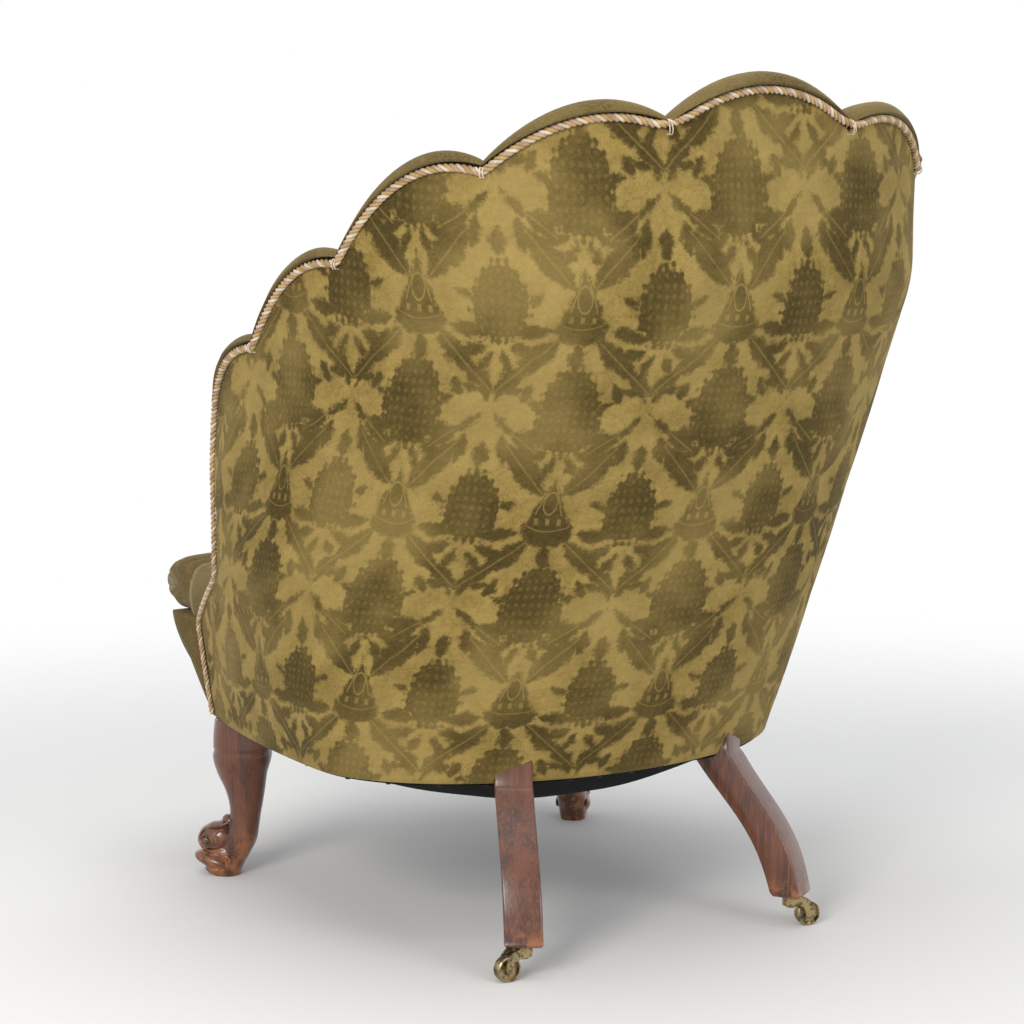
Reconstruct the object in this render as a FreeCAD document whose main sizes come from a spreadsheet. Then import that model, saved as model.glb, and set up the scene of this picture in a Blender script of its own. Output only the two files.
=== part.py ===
import FreeCAD, Part
import math
import os
import Sketcher
from FreeCAD import Placement, Rotation, Vector

# Low tub-shaped easy chair with a scalloped, channelled back, on carved front legs and castored rear legs.
# The chair faces -Y, its left side is +X, and the origin is on the floor under the middle of the chair.

doc = FreeCAD.newDocument("ScallopBackChair")
sheet = doc.addObject("Spreadsheet::Sheet", "Sizes")

SIZES = [
    ("tubCentre", 10, "middle of the tub's plan ahead of the origin"),
    ("railHalfWidth", 300, "half width of the seat frame at its lower edge"),
    ("railRearReach", 200, "lower edge behind the middle of the tub"),
    ("railFrontReach", 688, "length of the ellipse that the seat sides follow towards the front"),
    ("railSquareness", 2.0, "exponent of the lower edge behind the middle of the tub"),
    ("topHalfWidth", 389, "half width of the tub at its upper edge"),
    ("topRearReach", 420.5, "upper edge behind the middle of the tub"),
    ("topFrontReach", 322, "length of the ellipse that the arm tops follow towards the front"),
    ("topSquareness", 2.4, "exponent of the upper edge behind the middle of the tub"),
    ("footHeight", 196, "height of the lower edge of the frame"),
    ("kneeHeight", 740, "height where the raked back turns upright"),
    ("kneeDrop", 92, "least distance of that turn below the upper edge"),
    ("kneeBand", 30, "half height of the turn"),
    ("crownAzimuth", 15.8, "dip beside the middle scallop, degrees from straight behind"),
    ("shoulderAzimuth", 41.0, "next dip"),
    ("upperArmAzimuth", 63.9, "next dip"),
    ("lowerArmAzimuth", 84.8, "next dip"),
    ("armFrontAzimuth", 108.6, "top of the arm's front edge"),
    ("armFootAzimuth", 127.6, "foot of the arm's front edge"),
    ("cornerAzimuth", 139.2, "front corner of the seat frame"),
    ("crownHeight", 907, "height of the edging cord at the dip beside the middle scallop"),
    ("shoulderHeight", 864, "at the next dip"),
    ("upperArmHeight", 770, "at the next dip"),
    ("lowerArmHeight", 676, "at the next dip"),
    ("armFrontHeight", 600, "at the front of the arm"),
    ("crownRise", 40.5, "rise of the middle scallop above its dips"),
    ("shoulderRise", 29.5, "rise of the scallop beside it"),
    ("upperArmRise", 38, "rise of the next scallop"),
    ("lowerArmRise", 29, "rise of the next scallop"),
    ("armRise", 18, "rise of the foremost scallop"),
    ("wingRearHeight", 393, "seat side where the arm's front edge meets it"),
    ("wingFrontHeight", 321, "seat side at the front corner"),
    ("wingFlare", 0.19, "outward lean of the front corner for each mm of height"),
    ("wingRake", 0.12, "backward lean of the front corner for each mm of height"),
    ("wallBelly", 8, "outward swell of the raked wall at mid height"),
    ("cornerBelly", 2, "the same at the front corner"),
    ("coverThickness", 3, "velvet with its lining"),
    ("seamStep", 0.2, "step of the cover's faces at the arm's front edge"),
    ("frameThickness", 25, "posts and rails"),
    ("softGap", 0.7, "clearance of soft layers"),
    ("hessianThickness", 1.5, "hessian"),
    ("railHeight", 60, "seat rails"),
    ("crestDrop", 14, "top of the crest below the cord"),
    ("crestHeight", 45, "crest, shoulder and arm rails"),
    ("tackingHeight", 300, "lower edge of the tacking rails"),
    ("tackingWidth", 26, "height of the tacking rails"),
    ("webWidth", 0.12, "width of a back web as a share of its scallop"),
    ("channelFoot", 330, "lower end of the stuffed channels"),
    ("channelFootDepth", 28, "thickness of a channel at its lower end"),
    ("channelSeamDepth", 20, "thickness of the stuffing at a seam"),
    ("channelCrownDepth", 54, "thickness at the middle of a channel"),
    ("channelShoulder", 40, "where the channel's face starts to roll over, below the cord"),
    ("headSeamRise", 11, "channel head above the cord at a dip"),
    ("headCrownRise", 16.5, "channel head above the cord at the middle"),
    ("headSeamReach", 4, "how far a head stands out over the cord line at a dip"),
    ("headCrownReach", 8, "the same at the middle"),
    ("headTop", 8, "depth of the highest point of a head"),
    ("cordDiameter", 9, "twisted edging cord"),
    ("cordProud", 2, "how far the middle of the cord stands out of the cover"),
    ("cordSeat", 7.6, "half of the groove that the cord lies in, at the middle of a scallop"),
    ("cordSeatRise", 2.4, "how much deeper that half is at a dip, where the cord runs steeply"),
    ("facingBulge", 13, "crown of the padded arm front"),
    ("seatHalfWidth", 258, "seat cushion"),
    ("seatRearReach", 205, "seat cushion behind the middle of the tub"),
    ("seatFront", 337, "front of the seat cushion ahead of the origin"),
    ("seatBase", 334, "underside of the seat stuffing"),
    ("seatSide", 36, "height of the cushion's sides"),
    ("seatCrown", 30, "crown of the cushion above its sides"),
    ("rollFront", 418, "front of the seat's rolled edge"),
    ("rollTop", 389, "top of the rolled edge"),
    ("rollBottom", 323, "bottom of the rolled edge"),
    ("rollHalfWidth", 284, "rolled edge"),
    ("borderFootFront", 342, "front border at its lower edge"),
    ("borderTopFront", 398, "front border at its upper edge"),
    ("legPostSize", 44, "upper post of a front leg"),
    ("legPostX", 240, "middle of that post, sideways"),
    ("legPostY", 299, "middle of that post, ahead of the origin"),
    ("legBlock", 52, "square block under the seat corner"),
    ("kneeWidth", 56, "knee of a front leg"),
    ("ankleWidth", 34, "ankle of a front leg"),
    ("footLength", 74, "carved foot, heel to lip"),
    ("footBreadth", 46, "carved foot"),
    ("footTop", 60, "crown of the carved foot"),
    ("sabreWidth", 42.5, "rear leg across its rake"),
    ("sabreTopDepth", 48, "rear leg along its rake at the top"),
    ("sabreToeDepth", 35.6, "the same at the toe"),
    ("sabreTopX", 139, "middle of the top of a rear leg, sideways"),
    ("sabreTopY", 150, "the same, behind the origin"),
    ("sabreToeX", 183, "middle of the toe, sideways"),
    ("sabreToeY", 239, "the same, behind the origin"),
    ("sabreAzimuth", 32.5, "way that the rear leg rakes, degrees from straight behind"),
    ("toeHeight", 38, "toe of a rear leg above the floor"),
    ("tenonDepth", 30, "tenon of a rear leg in its rail"),
    ("tenonSize", 14, "thickness of that tenon"),
    ("leftHeading", -2, "caster's trailing direction at rest, degrees from +X"),
    ("rightHeading", 167, "the same on the other side"),
    ("wheelRadius", 14, "caster wheel"),
    ("wheelWidth", 12, "caster wheel"),
    ("wheelDish", 3, "hollow of the wheel's faces"),
    ("wheelRim", 2, "width of the raised rim"),
    ("wheelHub", 4.5, "radius of the wheel's hub"),
    ("axleDiameter", 4, "caster axle"),
    ("axleFit", 0.05, "radial clearance of the wheel on its axle"),
    ("casterTrail", 21, "axle behind the swivel"),
    ("armGap", 0.5, "between a fork arm and the wheel"),
    ("armThickness", 2.6, "fork arm"),
    ("plateDiameter", 28, "caster plate"),
    ("plateThickness", 2.5, "caster plate"),
    ("plateScrewCircle", 9.5, "radius of the plate's screw circle"),
    ("screwDiameter", 3, "caster screws"),
    ("screwLength", 16, "caster screws"),
    ("collarDiameter", 19, "swivel collar of the fork"),
    ("collarHeight", 10, "swivel collar of the fork"),
    ("pinDiameter", 8, "swivel pin"),
    ("pinFit", 0.05, "radial clearance of the fork on its pin"),
    ("pinRoot", 34, "length of the pin in the leg"),
    ("runningGap", 0.25, "end play of the swivel"),
    ("dowelDiameter", 10, "rail dowels"),
    ("dowelLength", 50, "rail dowels"),
    ("blockScrewDiameter", 5, "corner block screws"),
    ("blockScrewLength", 38, "corner block screws"),
    ("blockDepth", 24, "corner blocks"),
    ("webbingWidth", 50, "seat webbing"),
    ("webbingThickness", 0.7, "seat webbing"),
    ("springDiameter", 88, "seat springs at top and bottom"),
    ("springWaist", 52, "seat springs in the middle"),
    ("springSpacing", 117, "seat springs"),
    ("dustSag", 52, "sag of the cloth under the seat"),
    ("dustMargin", 20, "edge of that cloth that lies flat under the rails"),
    ("dustSlope", 120, "run over which it drops to its full sag, front and rear"),
    ("dustThickness", 1.2, "cloth under the seat"),
    ("tackHead", 6, "diameter of a tack's head"),
    ("tackPin", 1.6, "diameter of a tack's pin"),
    ("tackLength", 9, "tacks"),
]
for row, (alias, value, note) in enumerate(SIZES, start=1):
    sheet.set(f"A{row}", note)
    sheet.set(f"B{row}", str(value))
    sheet.setAlias(f"B{row}", alias)
doc.recompute()


def size(alias):
    return float(sheet.get(alias))


class Formula:
    """A sheet value or sum of such values, kept both as an expression's text and as its number."""

    def __init__(self, text, value):
        self.text = text
        self.value = value

    def join(self, sign, other, value):
        return Formula(f"({self.text} {sign} {other.text})", value)

    def __add__(self, other):
        other = formula(other)
        return self.join("+", other, self.value + other.value)

    def __sub__(self, other):
        other = formula(other)
        return self.join("-", other, self.value - other.value)

    def __mul__(self, other):
        other = formula(other)
        return self.join("*", other, self.value * other.value)

    def __truediv__(self, other):
        other = formula(other)
        return self.join("/", other, self.value / other.value)

    def __neg__(self):
        return formula(0) - self


def formula(item):
    if isinstance(item, Formula):
        return item
    if isinstance(item, str):
        return Formula("Sizes." + item, size(item))
    return Formula(str(item), float(item))


nodes = []


def keep(feature, label):
    feature.Label = label
    nodes.append(feature)
    return feature


def addShape(label, shape):
    feature = doc.addObject("Part::Feature", label)
    feature.Shape = shape
    return keep(feature, label)


def addMirrored(label, source):
    feature = doc.addObject("Part::Mirroring", label)
    feature.Source = source
    feature.Normal = Vector(1, 0, 0)
    return keep(feature, label)


def addPair(label, shape):
    left = addShape(label + "_left", shape)
    addMirrored(label + "_right", left)
    return left


def primitive(kind, name, **formulas):
    piece = doc.addObject("Part::" + kind, name)
    for prop, item in formulas.items():
        piece.setExpression(prop, formula(item).text)
    return piece


def lerp(a, b, share):
    return a + (b - a) * share


def heading(azimuth):
    angle = math.radians(azimuth)
    return Vector(math.sin(angle), math.cos(angle), 0)


def mirrored(shape):
    return shape.mirror(Vector(0, 0, 0), Vector(1, 0, 0))


# A wire through points, where ("arc", via, end) is an arc and a bare point is the end of a line.
def wire(start, *steps):
    edges = []
    here = start
    for step in list(steps) + [start]:
        if isinstance(step, tuple):
            edges.append(Part.Arc(here, step[1], step[2]).toShape())
            here = step[2]
        elif (step - here).Length > 1e-6:
            edges.append(Part.LineSegment(here, step).toShape())
            here = step
    return Part.Wire(edges)


def loft(wires, ruled=False):
    return Part.makeLoft(wires, True, ruled)


def fuseAll(shapes):
    return shapes[0].multiFuse(shapes[1:])


# The tub: stations round the chair, each with a foot on the seat frame and a wall that rakes up from it.
def reach(azimuth, side, rear, front, squareness):
    across = abs(math.sin(math.radians(azimuth))) / side
    along = math.cos(math.radians(azimuth))
    if along >= 0:
        return (across ** squareness + (along / rear) ** squareness) ** (-1 / squareness)
    return (across ** 2 + (along / front) ** 2) ** -0.5


def footPoint(azimuth):
    rail = reach(azimuth, size("railHalfWidth"), size("railRearReach"), size("railFrontReach"),
                 size("railSquareness"))
    return heading(azimuth) * rail - Vector(0, size("tubCentre"), 0)


def topPoint(azimuth):
    edge = reach(azimuth, size("topHalfWidth"), size("topRearReach"), size("topFrontReach"),
                 size("topSquareness"))
    return heading(azimuth) * edge - Vector(0, size("tubCentre"), 0)


class Station:
    def __init__(self, foot, outward, slope, lean, knee, edge, belly, share):
        self.foot = foot
        self.outward = outward
        self.slope = slope
        self.lean = lean
        self.knee = knee
        self.edge = edge
        self.belly = belly
        self.groove = size("cordSeat") + size("cordSeatRise") * (2 * share - 1) ** 2

    # The raked part swells as a parabola, and a second parabola turns it upright at the knee.
    def wall(self, height):
        band = size("kneeBand")
        flare = self.slope * (self.knee - size("footHeight"))
        if height >= self.knee + band:
            return flare
        if height >= self.knee - band:
            return flare - self.slope * (self.knee + band - height) ** 2 / (4 * band)
        up = height - size("footHeight")
        share = up / (self.knee - band - size("footHeight"))
        return self.slope * up + self.belly * 4 * share * (1 - share)

    def at(self, depth, height):
        rise = height - size("footHeight")
        point = self.foot + self.outward * (self.wall(height) - depth) + self.lean * rise
        return Vector(point.x, point.y, height)


DIPS = [
    (-size("crownAzimuth"), size("crownHeight")),
    (size("crownAzimuth"), size("crownHeight")),
    (size("shoulderAzimuth"), size("shoulderHeight")),
    (size("upperArmAzimuth"), size("upperArmHeight")),
    (size("lowerArmAzimuth"), size("lowerArmHeight")),
    (size("armFrontAzimuth"), size("armFrontHeight")),
]
RISES = [size(name) for name in ("crownRise", "shoulderRise", "upperArmRise", "lowerArmRise", "armRise")]
LOBES = range(len(RISES))
FOREMOST = LOBES[-1]
SHARES = (0, 0.12, 0.3, 0.5, 0.7, 0.88, 1)
WING_SHARES = (0, 0.35, 0.7, 1)


# Share 0 is a scallop's dip nearer the middle of the back, and share 1 its dip nearer the front.
def station(lobe, share):
    azimuth = lerp(DIPS[lobe][0], DIPS[lobe + 1][0], share)
    chord = lerp(DIPS[lobe][1], DIPS[lobe + 1][1], share)
    edge = chord + RISES[lobe] * 4 * share * (1 - share)
    knee = min(size("kneeHeight"), chord - size("kneeDrop"))
    footAzimuth = azimuth
    if lobe == FOREMOST:
        footAzimuth = lerp(size("lowerArmAzimuth"), size("armFootAzimuth"), share)
    foot = footPoint(footAzimuth)
    outward = heading(azimuth)
    rate = (topPoint(azimuth) - foot) * (1 / (knee - size("footHeight")))
    slope = rate.dot(outward)
    return Station(foot, outward, slope, rate - outward * slope, knee, edge, size("wallBelly"), share)


ARM = station(FOREMOST, 1)


# The seat side runs from the arm's front edge, share 0, to the front corner, share 1.
def wingStation(share):
    foot = footPoint(lerp(size("armFootAzimuth"), size("cornerAzimuth"), share))
    outward = ARM.outward * (1 - share) + Vector(1, 0, 0) * share
    outward.normalize()
    slope = lerp(ARM.slope, size("wingFlare"), share)
    lean = ARM.lean * (1 - share) + Vector(0, size("wingRake"), 0) * share
    edge = lerp(size("wingRearHeight"), size("wingFrontHeight"), share)
    belly = lerp(size("wallBelly"), size("cornerBelly"), share)
    return Station(foot, outward, slope, lean, ARM.knee, edge, belly, 0.5)


CORNER = wingStation(1)


def quad(place, near, far, low, high):
    return wire(place.at(near, low), place.at(near, high), place.at(far, high), place.at(far, low))


# A layer of the raked wall between two depths, below the knee.
def swell(place, near, far, low, high):
    middle = (low + high) / 2
    return wire(
        place.at(near, low), ("arc", place.at(near, middle), place.at(near, high)),
        place.at(far, high), ("arc", place.at(far, middle), place.at(far, low)))


# A layer of the whole wall between two depths, which follows the turn at the knee.
def ribbon(place, near, far, low, high):
    below = place.knee - size("kneeBand")
    above = place.knee + size("kneeBand")
    middle = (low + below) / 2
    return wire(
        place.at(near, low), ("arc", place.at(near, middle), place.at(near, below)),
        ("arc", place.at(near, place.knee), place.at(near, above)),
        place.at(near, high), place.at(far, high), place.at(far, above),
        ("arc", place.at(far, place.knee), place.at(far, below)),
        ("arc", place.at(far, middle), place.at(far, low)))


def bothSides(shapes):
    return list(shapes) + [mirrored(shape) for shape in shapes]


FOOT = size("footHeight")
FRAME_OUTER = size("coverThickness") + size("softGap")
FRAME_INNER = FRAME_OUTER + size("frameThickness")
HESSIAN_OUTER = FRAME_INNER + size("softGap")
HESSIAN_INNER = HESSIAN_OUTER + size("hessianThickness")
STUFFING_BACK = HESSIAN_INNER + size("softGap")
RAIL_TOP = FOOT + size("railHeight")


def crestTop(place):
    return place.edge - size("crestDrop")


def crestUnderside(place):
    return crestTop(place) - size("crestHeight")


# Outside cover of back, arms and seat sides, in one piece with a scalloped upper edge.
def coverLobe(lobe):
    return loft([ribbon(place, 0, size("coverThickness"), FOOT, place.edge - place.groove)
                 for place in (station(lobe, share) for share in SHARES)])


def coverWing():
    step = size("seamStep")
    return loft([swell(place, step, size("coverThickness") - step, FOOT, place.edge - place.groove)
                 for place in (wingStation(share) for share in WING_SHARES)])


coverPieces = [coverLobe(lobe) for lobe in LOBES[1:]] + [coverWing()]
outsideCover = fuseAll([coverLobe(0)] + bothSides(coverPieces))


# Rails of the seat frame, canted with the wall.
def railPart(stations):
    return loft([quad(place, FRAME_OUTER, FRAME_INNER, FOOT, RAIL_TOP) for place in stations])


REAR_LOBES = 3


def railLobe(lobe):
    return railPart([station(lobe, share) for share in SHARES])


railRear = fuseAll([railLobe(0)] + bothSides([railLobe(lobe) for lobe in LOBES[1:REAR_LOBES]]))
railOfSide = [railLobe(lobe) for lobe in LOBES[REAR_LOBES:]]
railOfSide.append(railPart([wingStation(share) for share in WING_SHARES]))
postHalf = size("legPostSize") / 2
postRear = -size("legPostY") + postHalf
aheadOfPost = Part.makeBox(600, 400, 600, Vector(0, postRear - 400, 0))
railSide = fuseAll(railOfSide).cut(aheadOfPost)
frontRailEnd = size("legPostX") - postHalf
frontRailFace = size("legPostY") + postHalf - size("softGap")

# Rear legs: square sabre legs whose tenons enter the rear rail.
sabreWay = heading(size("sabreAzimuth"))
sabreAcross = heading(size("sabreAzimuth") + 90)


# The rake is quickest at mid height and dies out at both ends.
def sabreSection(share):
    eased = share ** 0.7
    along = eased - 0.42 * math.sin(2 * math.pi * eased) / (2 * math.pi)
    middle = Vector(lerp(size("sabreTopX"), size("sabreToeX"), along),
                    lerp(size("sabreTopY"), size("sabreToeY"), along),
                    lerp(FOOT, size("toeHeight"), share))
    out = sabreWay * (lerp(size("sabreTopDepth"), size("sabreToeDepth"), share) / 2)
    side = sabreAcross * (size("sabreWidth") / 2)
    return wire(middle - out - side, middle + out - side, middle + out + side, middle - out + side)


def sabreLeg():
    leg = loft([sabreSection(share) for share in (0, 0.12, 0.3, 0.5, 0.7, 0.88, 1)])
    frame = Placement(Vector(size("sabreToeX"), size("sabreToeY"), 0), Rotation())
    stem = Part.makeCylinder(size("pinDiameter") / 2, size("pinRoot"), Vector(0, 0, size("toeHeight")))
    leg = leg.cut(stem.transformed(frame.toMatrix()))
    for x, y in plateScrewPlaces():
        hole = Part.makeCylinder(size("screwDiameter") / 2, size("screwLength"),
                                 Vector(x, y, size("toeHeight")))
        leg = leg.cut(hole.transformed(leftCaster.toMatrix()))
    return leg


def plateScrewPlaces():
    ring = size("plateScrewCircle")
    return [(ring * math.cos(math.radians(angle)), ring * math.sin(math.radians(angle)))
            for angle in (60, 180, 300)]


leftCaster = Placement(Vector(size("sabreToeX"), size("sabreToeY"), 0),
                       Rotation(Vector(0, 0, 1), size("leftHeading")))
rightCaster = Placement(Vector(-size("sabreToeX"), size("sabreToeY"), 0),
                        Rotation(Vector(0, 0, 1), size("rightHeading")))
tenonPlace = station(1, 0.93)
tenonMiddle = tenonPlace.at((FRAME_OUTER + FRAME_INNER) / 2, FOOT)
tenon = Part.makeBox(size("tenonSize"), size("tenonSize") * 2, size("tenonDepth"),
                     Vector(-size("tenonSize") / 2, -size("tenonSize"), 0))
tenonTurn = Rotation(Vector(0, 0, 1), 90 - size("shoulderAzimuth"))
tenon.Placement = Placement(tenonMiddle, tenonTurn)
sabreLeft = sabreLeg().fuse(tenon)
addPair("rear_leg", sabreLeft)
railRear = railRear.cut(tenon).cut(mirrored(tenon))


# Front legs: a post in the frame corner, a square block, a cabriole shaft and a carved animal foot.
legOut = Vector(math.sqrt(0.5), -math.sqrt(0.5), 0)
legSide = Vector(math.sqrt(0.5), math.sqrt(0.5), 0)
legAxis = Vector(size("legPostX"), -size("legPostY"), 0)


def roundSection(middle, out, side, halfOut, halfSide, turn=0):
    points = []
    for step in range(8):
        angle = math.radians(45 * step + turn)
        points.append(middle + out * (halfOut * math.cos(angle)) + side * (halfSide * math.sin(angle)))
    steps = [("arc", points[(index + 1) % 8], points[(index + 2) % 8]) for index in range(0, 6, 2)]
    edges = wire(points[0], *steps, ("arc", points[7], points[0]))
    return edges


def cabriole():
    block = size("legBlock")
    shaft = [
        (FOOT - 34, 0, block * 0.60),
        (FOOT - 50, 4, size("kneeWidth") * 0.58),
        (FOOT - 80, 12, size("kneeWidth") * 0.44),
        (FOOT - 112, 14, size("ankleWidth") * 0.56),
        (FOOT - 138, 14, size("ankleWidth") * 0.50),
        (20, 16, size("ankleWidth") * 0.56),
        (0, 16, size("ankleWidth") * 0.52),
    ]
    return loft([roundSection(legAxis + legOut * offset + Vector(0, 0, height), legOut, legSide, half, half)
                 for height, offset, half in shaft])


def carvedFoot():
    length = size("footLength")
    breadth = size("footBreadth")
    top = size("footTop")
    up = Vector(0, 0, 1)
    sections = []
    for share, middleShare, heightShare, breadthShare in (
            (0.10, 0.50, 0.50, 0.70), (0.30, 0.54, 0.90, 0.94), (0.52, 0.54, 0.92, 1.0),
            (0.74, 0.46, 0.66, 0.84), (0.92, 0.38, 0.36, 0.62), (1.0, 0.34, 0.16, 0.40)):
        middle = legAxis + legOut * (length * (share - 0.30) + 8) + up * (top * middleShare)
        sections.append(roundSection(middle, up, legSide, top * heightShare / 2, breadth * breadthShare / 2))
    return loft(sections)


def frontLeg():
    half = size("legPostSize") / 2
    post = Part.makeBox(2 * half, 2 * half, size("railHeight"),
                        Vector(legAxis.x - half, legAxis.y - half, FOOT))
    block = size("legBlock")
    shoulder = Part.makeBox(block, block, 34, Vector(legAxis.x - half, legAxis.y + half - block, FOOT - 34))
    leg = fuseAll([cabriole(), carvedFoot(), shoulder, post])
    underFloor = Part.makeBox(400, 400, 100, Vector(legAxis.x - 200, legAxis.y - 200, -100))
    return leg.cut(underFloor)


legShape = frontLeg()

# Posts from the seat frame up to the crest, shoulder and arm rails.
def postPart(lobe, start, end):
    return loft([ribbon(place, FRAME_OUTER, FRAME_INNER, RAIL_TOP, crestUnderside(place) - size("softGap"))
                 for place in (station(lobe, share) for share in (start, (start + end) / 2, end))])


BACK_POST = (1, 0.36, 0.64)
SIDE_POST = (3, 0.38, 0.62)
ARM_POST = (4, 0.72, 0.97)
addPair("back_post", postPart(*BACK_POST))
addPair("side_post", postPart(*SIDE_POST))
addPair("arm_post", postPart(*ARM_POST))


def upperRail(lobes):
    return [loft([quad(place, FRAME_OUTER, FRAME_INNER, crestUnderside(place), crestTop(place))
                  for place in (station(lobe, share) for share in SHARES)]) for lobe in lobes]


crestSides = upperRail([1])
addShape("crest_rail", fuseAll(upperRail([0]) + bothSides(crestSides)))
addPair("shoulder_rail", fuseAll(upperRail([2, 3])))
addPair("arm_rail", upperRail([4])[0])


def tackingPart(lobe, start, end):
    low = size("tackingHeight")
    depth = FRAME_INNER - 2 * size("hessianThickness") - 2 * size("softGap")
    return loft([quad(place, FRAME_OUTER, depth, low, low + size("tackingWidth"))
                 for place in (station(lobe, share) for share in (start, (start + end) / 2, end))])


addShape("tacking_rail_rear", fuseAll(
    [tackingPart(0, 0, 1)] + bothSides([tackingPart(1, 0, BACK_POST[1])])))
addPair("tacking_rail", fuseAll([
    tackingPart(1, BACK_POST[2], 1), tackingPart(2, 0, 1), tackingPart(3, 0, SIDE_POST[1])]))
addPair("arm_tacking_rail", fuseAll([
    tackingPart(3, SIDE_POST[2], 1), tackingPart(4, 0, ARM_POST[1])]))


# Upright jute webs and the hessian that carry the stuffing.
def backWeb(lobe, middle):
    half = size("webWidth") / 2
    far = FRAME_INNER - 2 * size("softGap")
    near = far - size("hessianThickness")
    return loft([ribbon(place, near, far, RAIL_TOP, crestUnderside(place) - size("softGap"))
                 for place in (station(lobe, share) for share in (middle - half, middle, middle + half))])


websLeft = [backWeb(0, 0.80), backWeb(2, 0.28), backWeb(2, 0.72)]
addShape("back_webbing", Part.makeCompound([backWeb(0, 0.5)] + bothSides(websLeft)))


def hessianLobe(lobe):
    return loft([ribbon(place, HESSIAN_OUTER, HESSIAN_INNER, size("tackingHeight"), crestTop(place))
                 for place in (station(lobe, share) for share in SHARES)])


addShape("back_hessian", fuseAll([hessianLobe(0)] + bothSides([hessianLobe(lobe) for lobe in LOBES[1:]])))


# Middle of the arc that leaves the top of a head level and ends at a lower point.
def levelVia(top, low):
    across = low[0] - top[0]
    down = top[1] - low[1]
    bulge = math.tan(math.atan2(down, abs(across)) / 2) / 2
    outward = math.copysign(down * bulge, across)
    return ((top[0] + low[0]) / 2 + outward, (top[1] + low[1]) / 2 + abs(across) * bulge)


def channelSection(lobe, share):
    place = station(lobe, share)
    crown = math.sin(math.pi * share) ** 0.75
    lipHeight = place.edge + place.groove
    if lobe == FOREMOST:
        crown = max(crown, 0.35 * share)
        lipHeight += size("cordProud") * share
    thickness = lerp(size("channelSeamDepth"), size("channelCrownDepth"), crown)
    rise = lerp(size("headSeamRise"), size("headCrownRise"), crown)
    out = lerp(size("headSeamReach"), size("headCrownReach"), crown)
    edge = place.edge
    below = place.knee - size("kneeBand")
    above = place.knee + size("kneeBand")
    foot = size("channelFoot")

    def face(height):
        share = min(1, (height - foot) / (place.knee - foot))
        return STUFFING_BACK + lerp(size("channelFootDepth"), thickness, share)

    lip = (-out, lipHeight)
    top = (size("headTop"), edge + rise)
    shoulder = (STUFFING_BACK + thickness, edge - size("channelShoulder"))
    lipVia = levelVia(top, lip)
    topVia = levelVia(top, shoulder)
    bed = crestTop(place) + size("softGap")
    middle = (foot + below) / 2
    return wire(
        place.at(*lip), ("arc", place.at(*lipVia), place.at(*top)),
        ("arc", place.at(*topVia), place.at(*shoulder)),
        place.at(face(above), above),
        ("arc", place.at(face(place.knee), place.knee), place.at(face(below), below)),
        ("arc", place.at(face(middle), middle), place.at(face(foot), foot)),
        place.at(STUFFING_BACK, foot),
        ("arc", place.at(STUFFING_BACK, middle), place.at(STUFFING_BACK, below)),
        ("arc", place.at(STUFFING_BACK, place.knee), place.at(STUFFING_BACK, above)),
        place.at(STUFFING_BACK, bed), place.at(FRAME_OUTER, bed), place.at(FRAME_OUTER, lipHeight))


def channel(lobe):
    return loft([channelSection(lobe, share) for share in SHARES])


addShape("back_channel_middle", channel(0))
for lobe in LOBES[1:]:
    addPair(f"back_channel_{lobe}", channel(lobe))


# Padded front of an arm.
def facingSection(height):
    gap = size("softGap")
    forward = Vector(ARM.outward.y, -ARM.outward.x, 0)
    outer = ARM.at(FRAME_OUTER, height) + forward * gap
    inner = ARM.at(STUFFING_BACK + size("channelFootDepth"), height) + forward * gap
    middle = (outer + inner) * 0.5 + forward * size("facingBulge")
    return wire(inner, outer, ("arc", middle, inner))


facingLow = size("wingRearHeight") + size("cordSeat")
facingHigh = size("armFrontHeight") - size("crestDrop")
addPair("arm_facing", loft([facingSection(lerp(facingLow, facingHigh, share)) for share in (0, 0.5, 1)]))


# The edging cord, along the front corner, the seat side, the arm front and every scallop.
def cordPoint(place, height, forward=0):
    ahead = Vector(place.outward.y, -place.outward.x, 0)
    return place.at(-size("cordProud"), height) + ahead * forward


cordRadius = size("cordDiameter") / 2
cordAhead = cordRadius + size("softGap")
cordLeft = []
for lobe in LOBES[1:]:
    for share in (0.14, 0.32, 0.5, 0.68, 0.86, 1):
        place = station(lobe, share)
        if place.edge > ARM.edge:
            cordLeft.append((cordPoint(place, place.edge), 0.25 if share == 1 else 0.45))
cordLeft.append((cordPoint(ARM, ARM.edge - 1.25 * cordAhead, cordAhead), 0.4))
cordLeft.append((cordPoint(ARM, lerp(ARM.edge, size("wingRearHeight"), 0.5), cordAhead), 0.45))
cordLeft.append((cordPoint(ARM, size("wingRearHeight"), cordAhead), 0.25))
cordLeft.append((cordPoint(CORNER, size("wingFrontHeight"), cordAhead), 0.08))
cordLeft.append((cordPoint(CORNER, FOOT + cordRadius, cordAhead), 0))
cordMiddle = [(cordPoint(station(0, share), station(0, share).edge), 0.25 if share in (0, 1) else 0.45)
              for share in (0, 0.14, 0.32, 0.5, 0.68, 0.86, 1)]
cordRight = [(Vector(-point.x, point.y, point.z), share) for point, share in reversed(cordLeft)]
cordRoute = cordRight + cordMiddle + cordLeft


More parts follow.
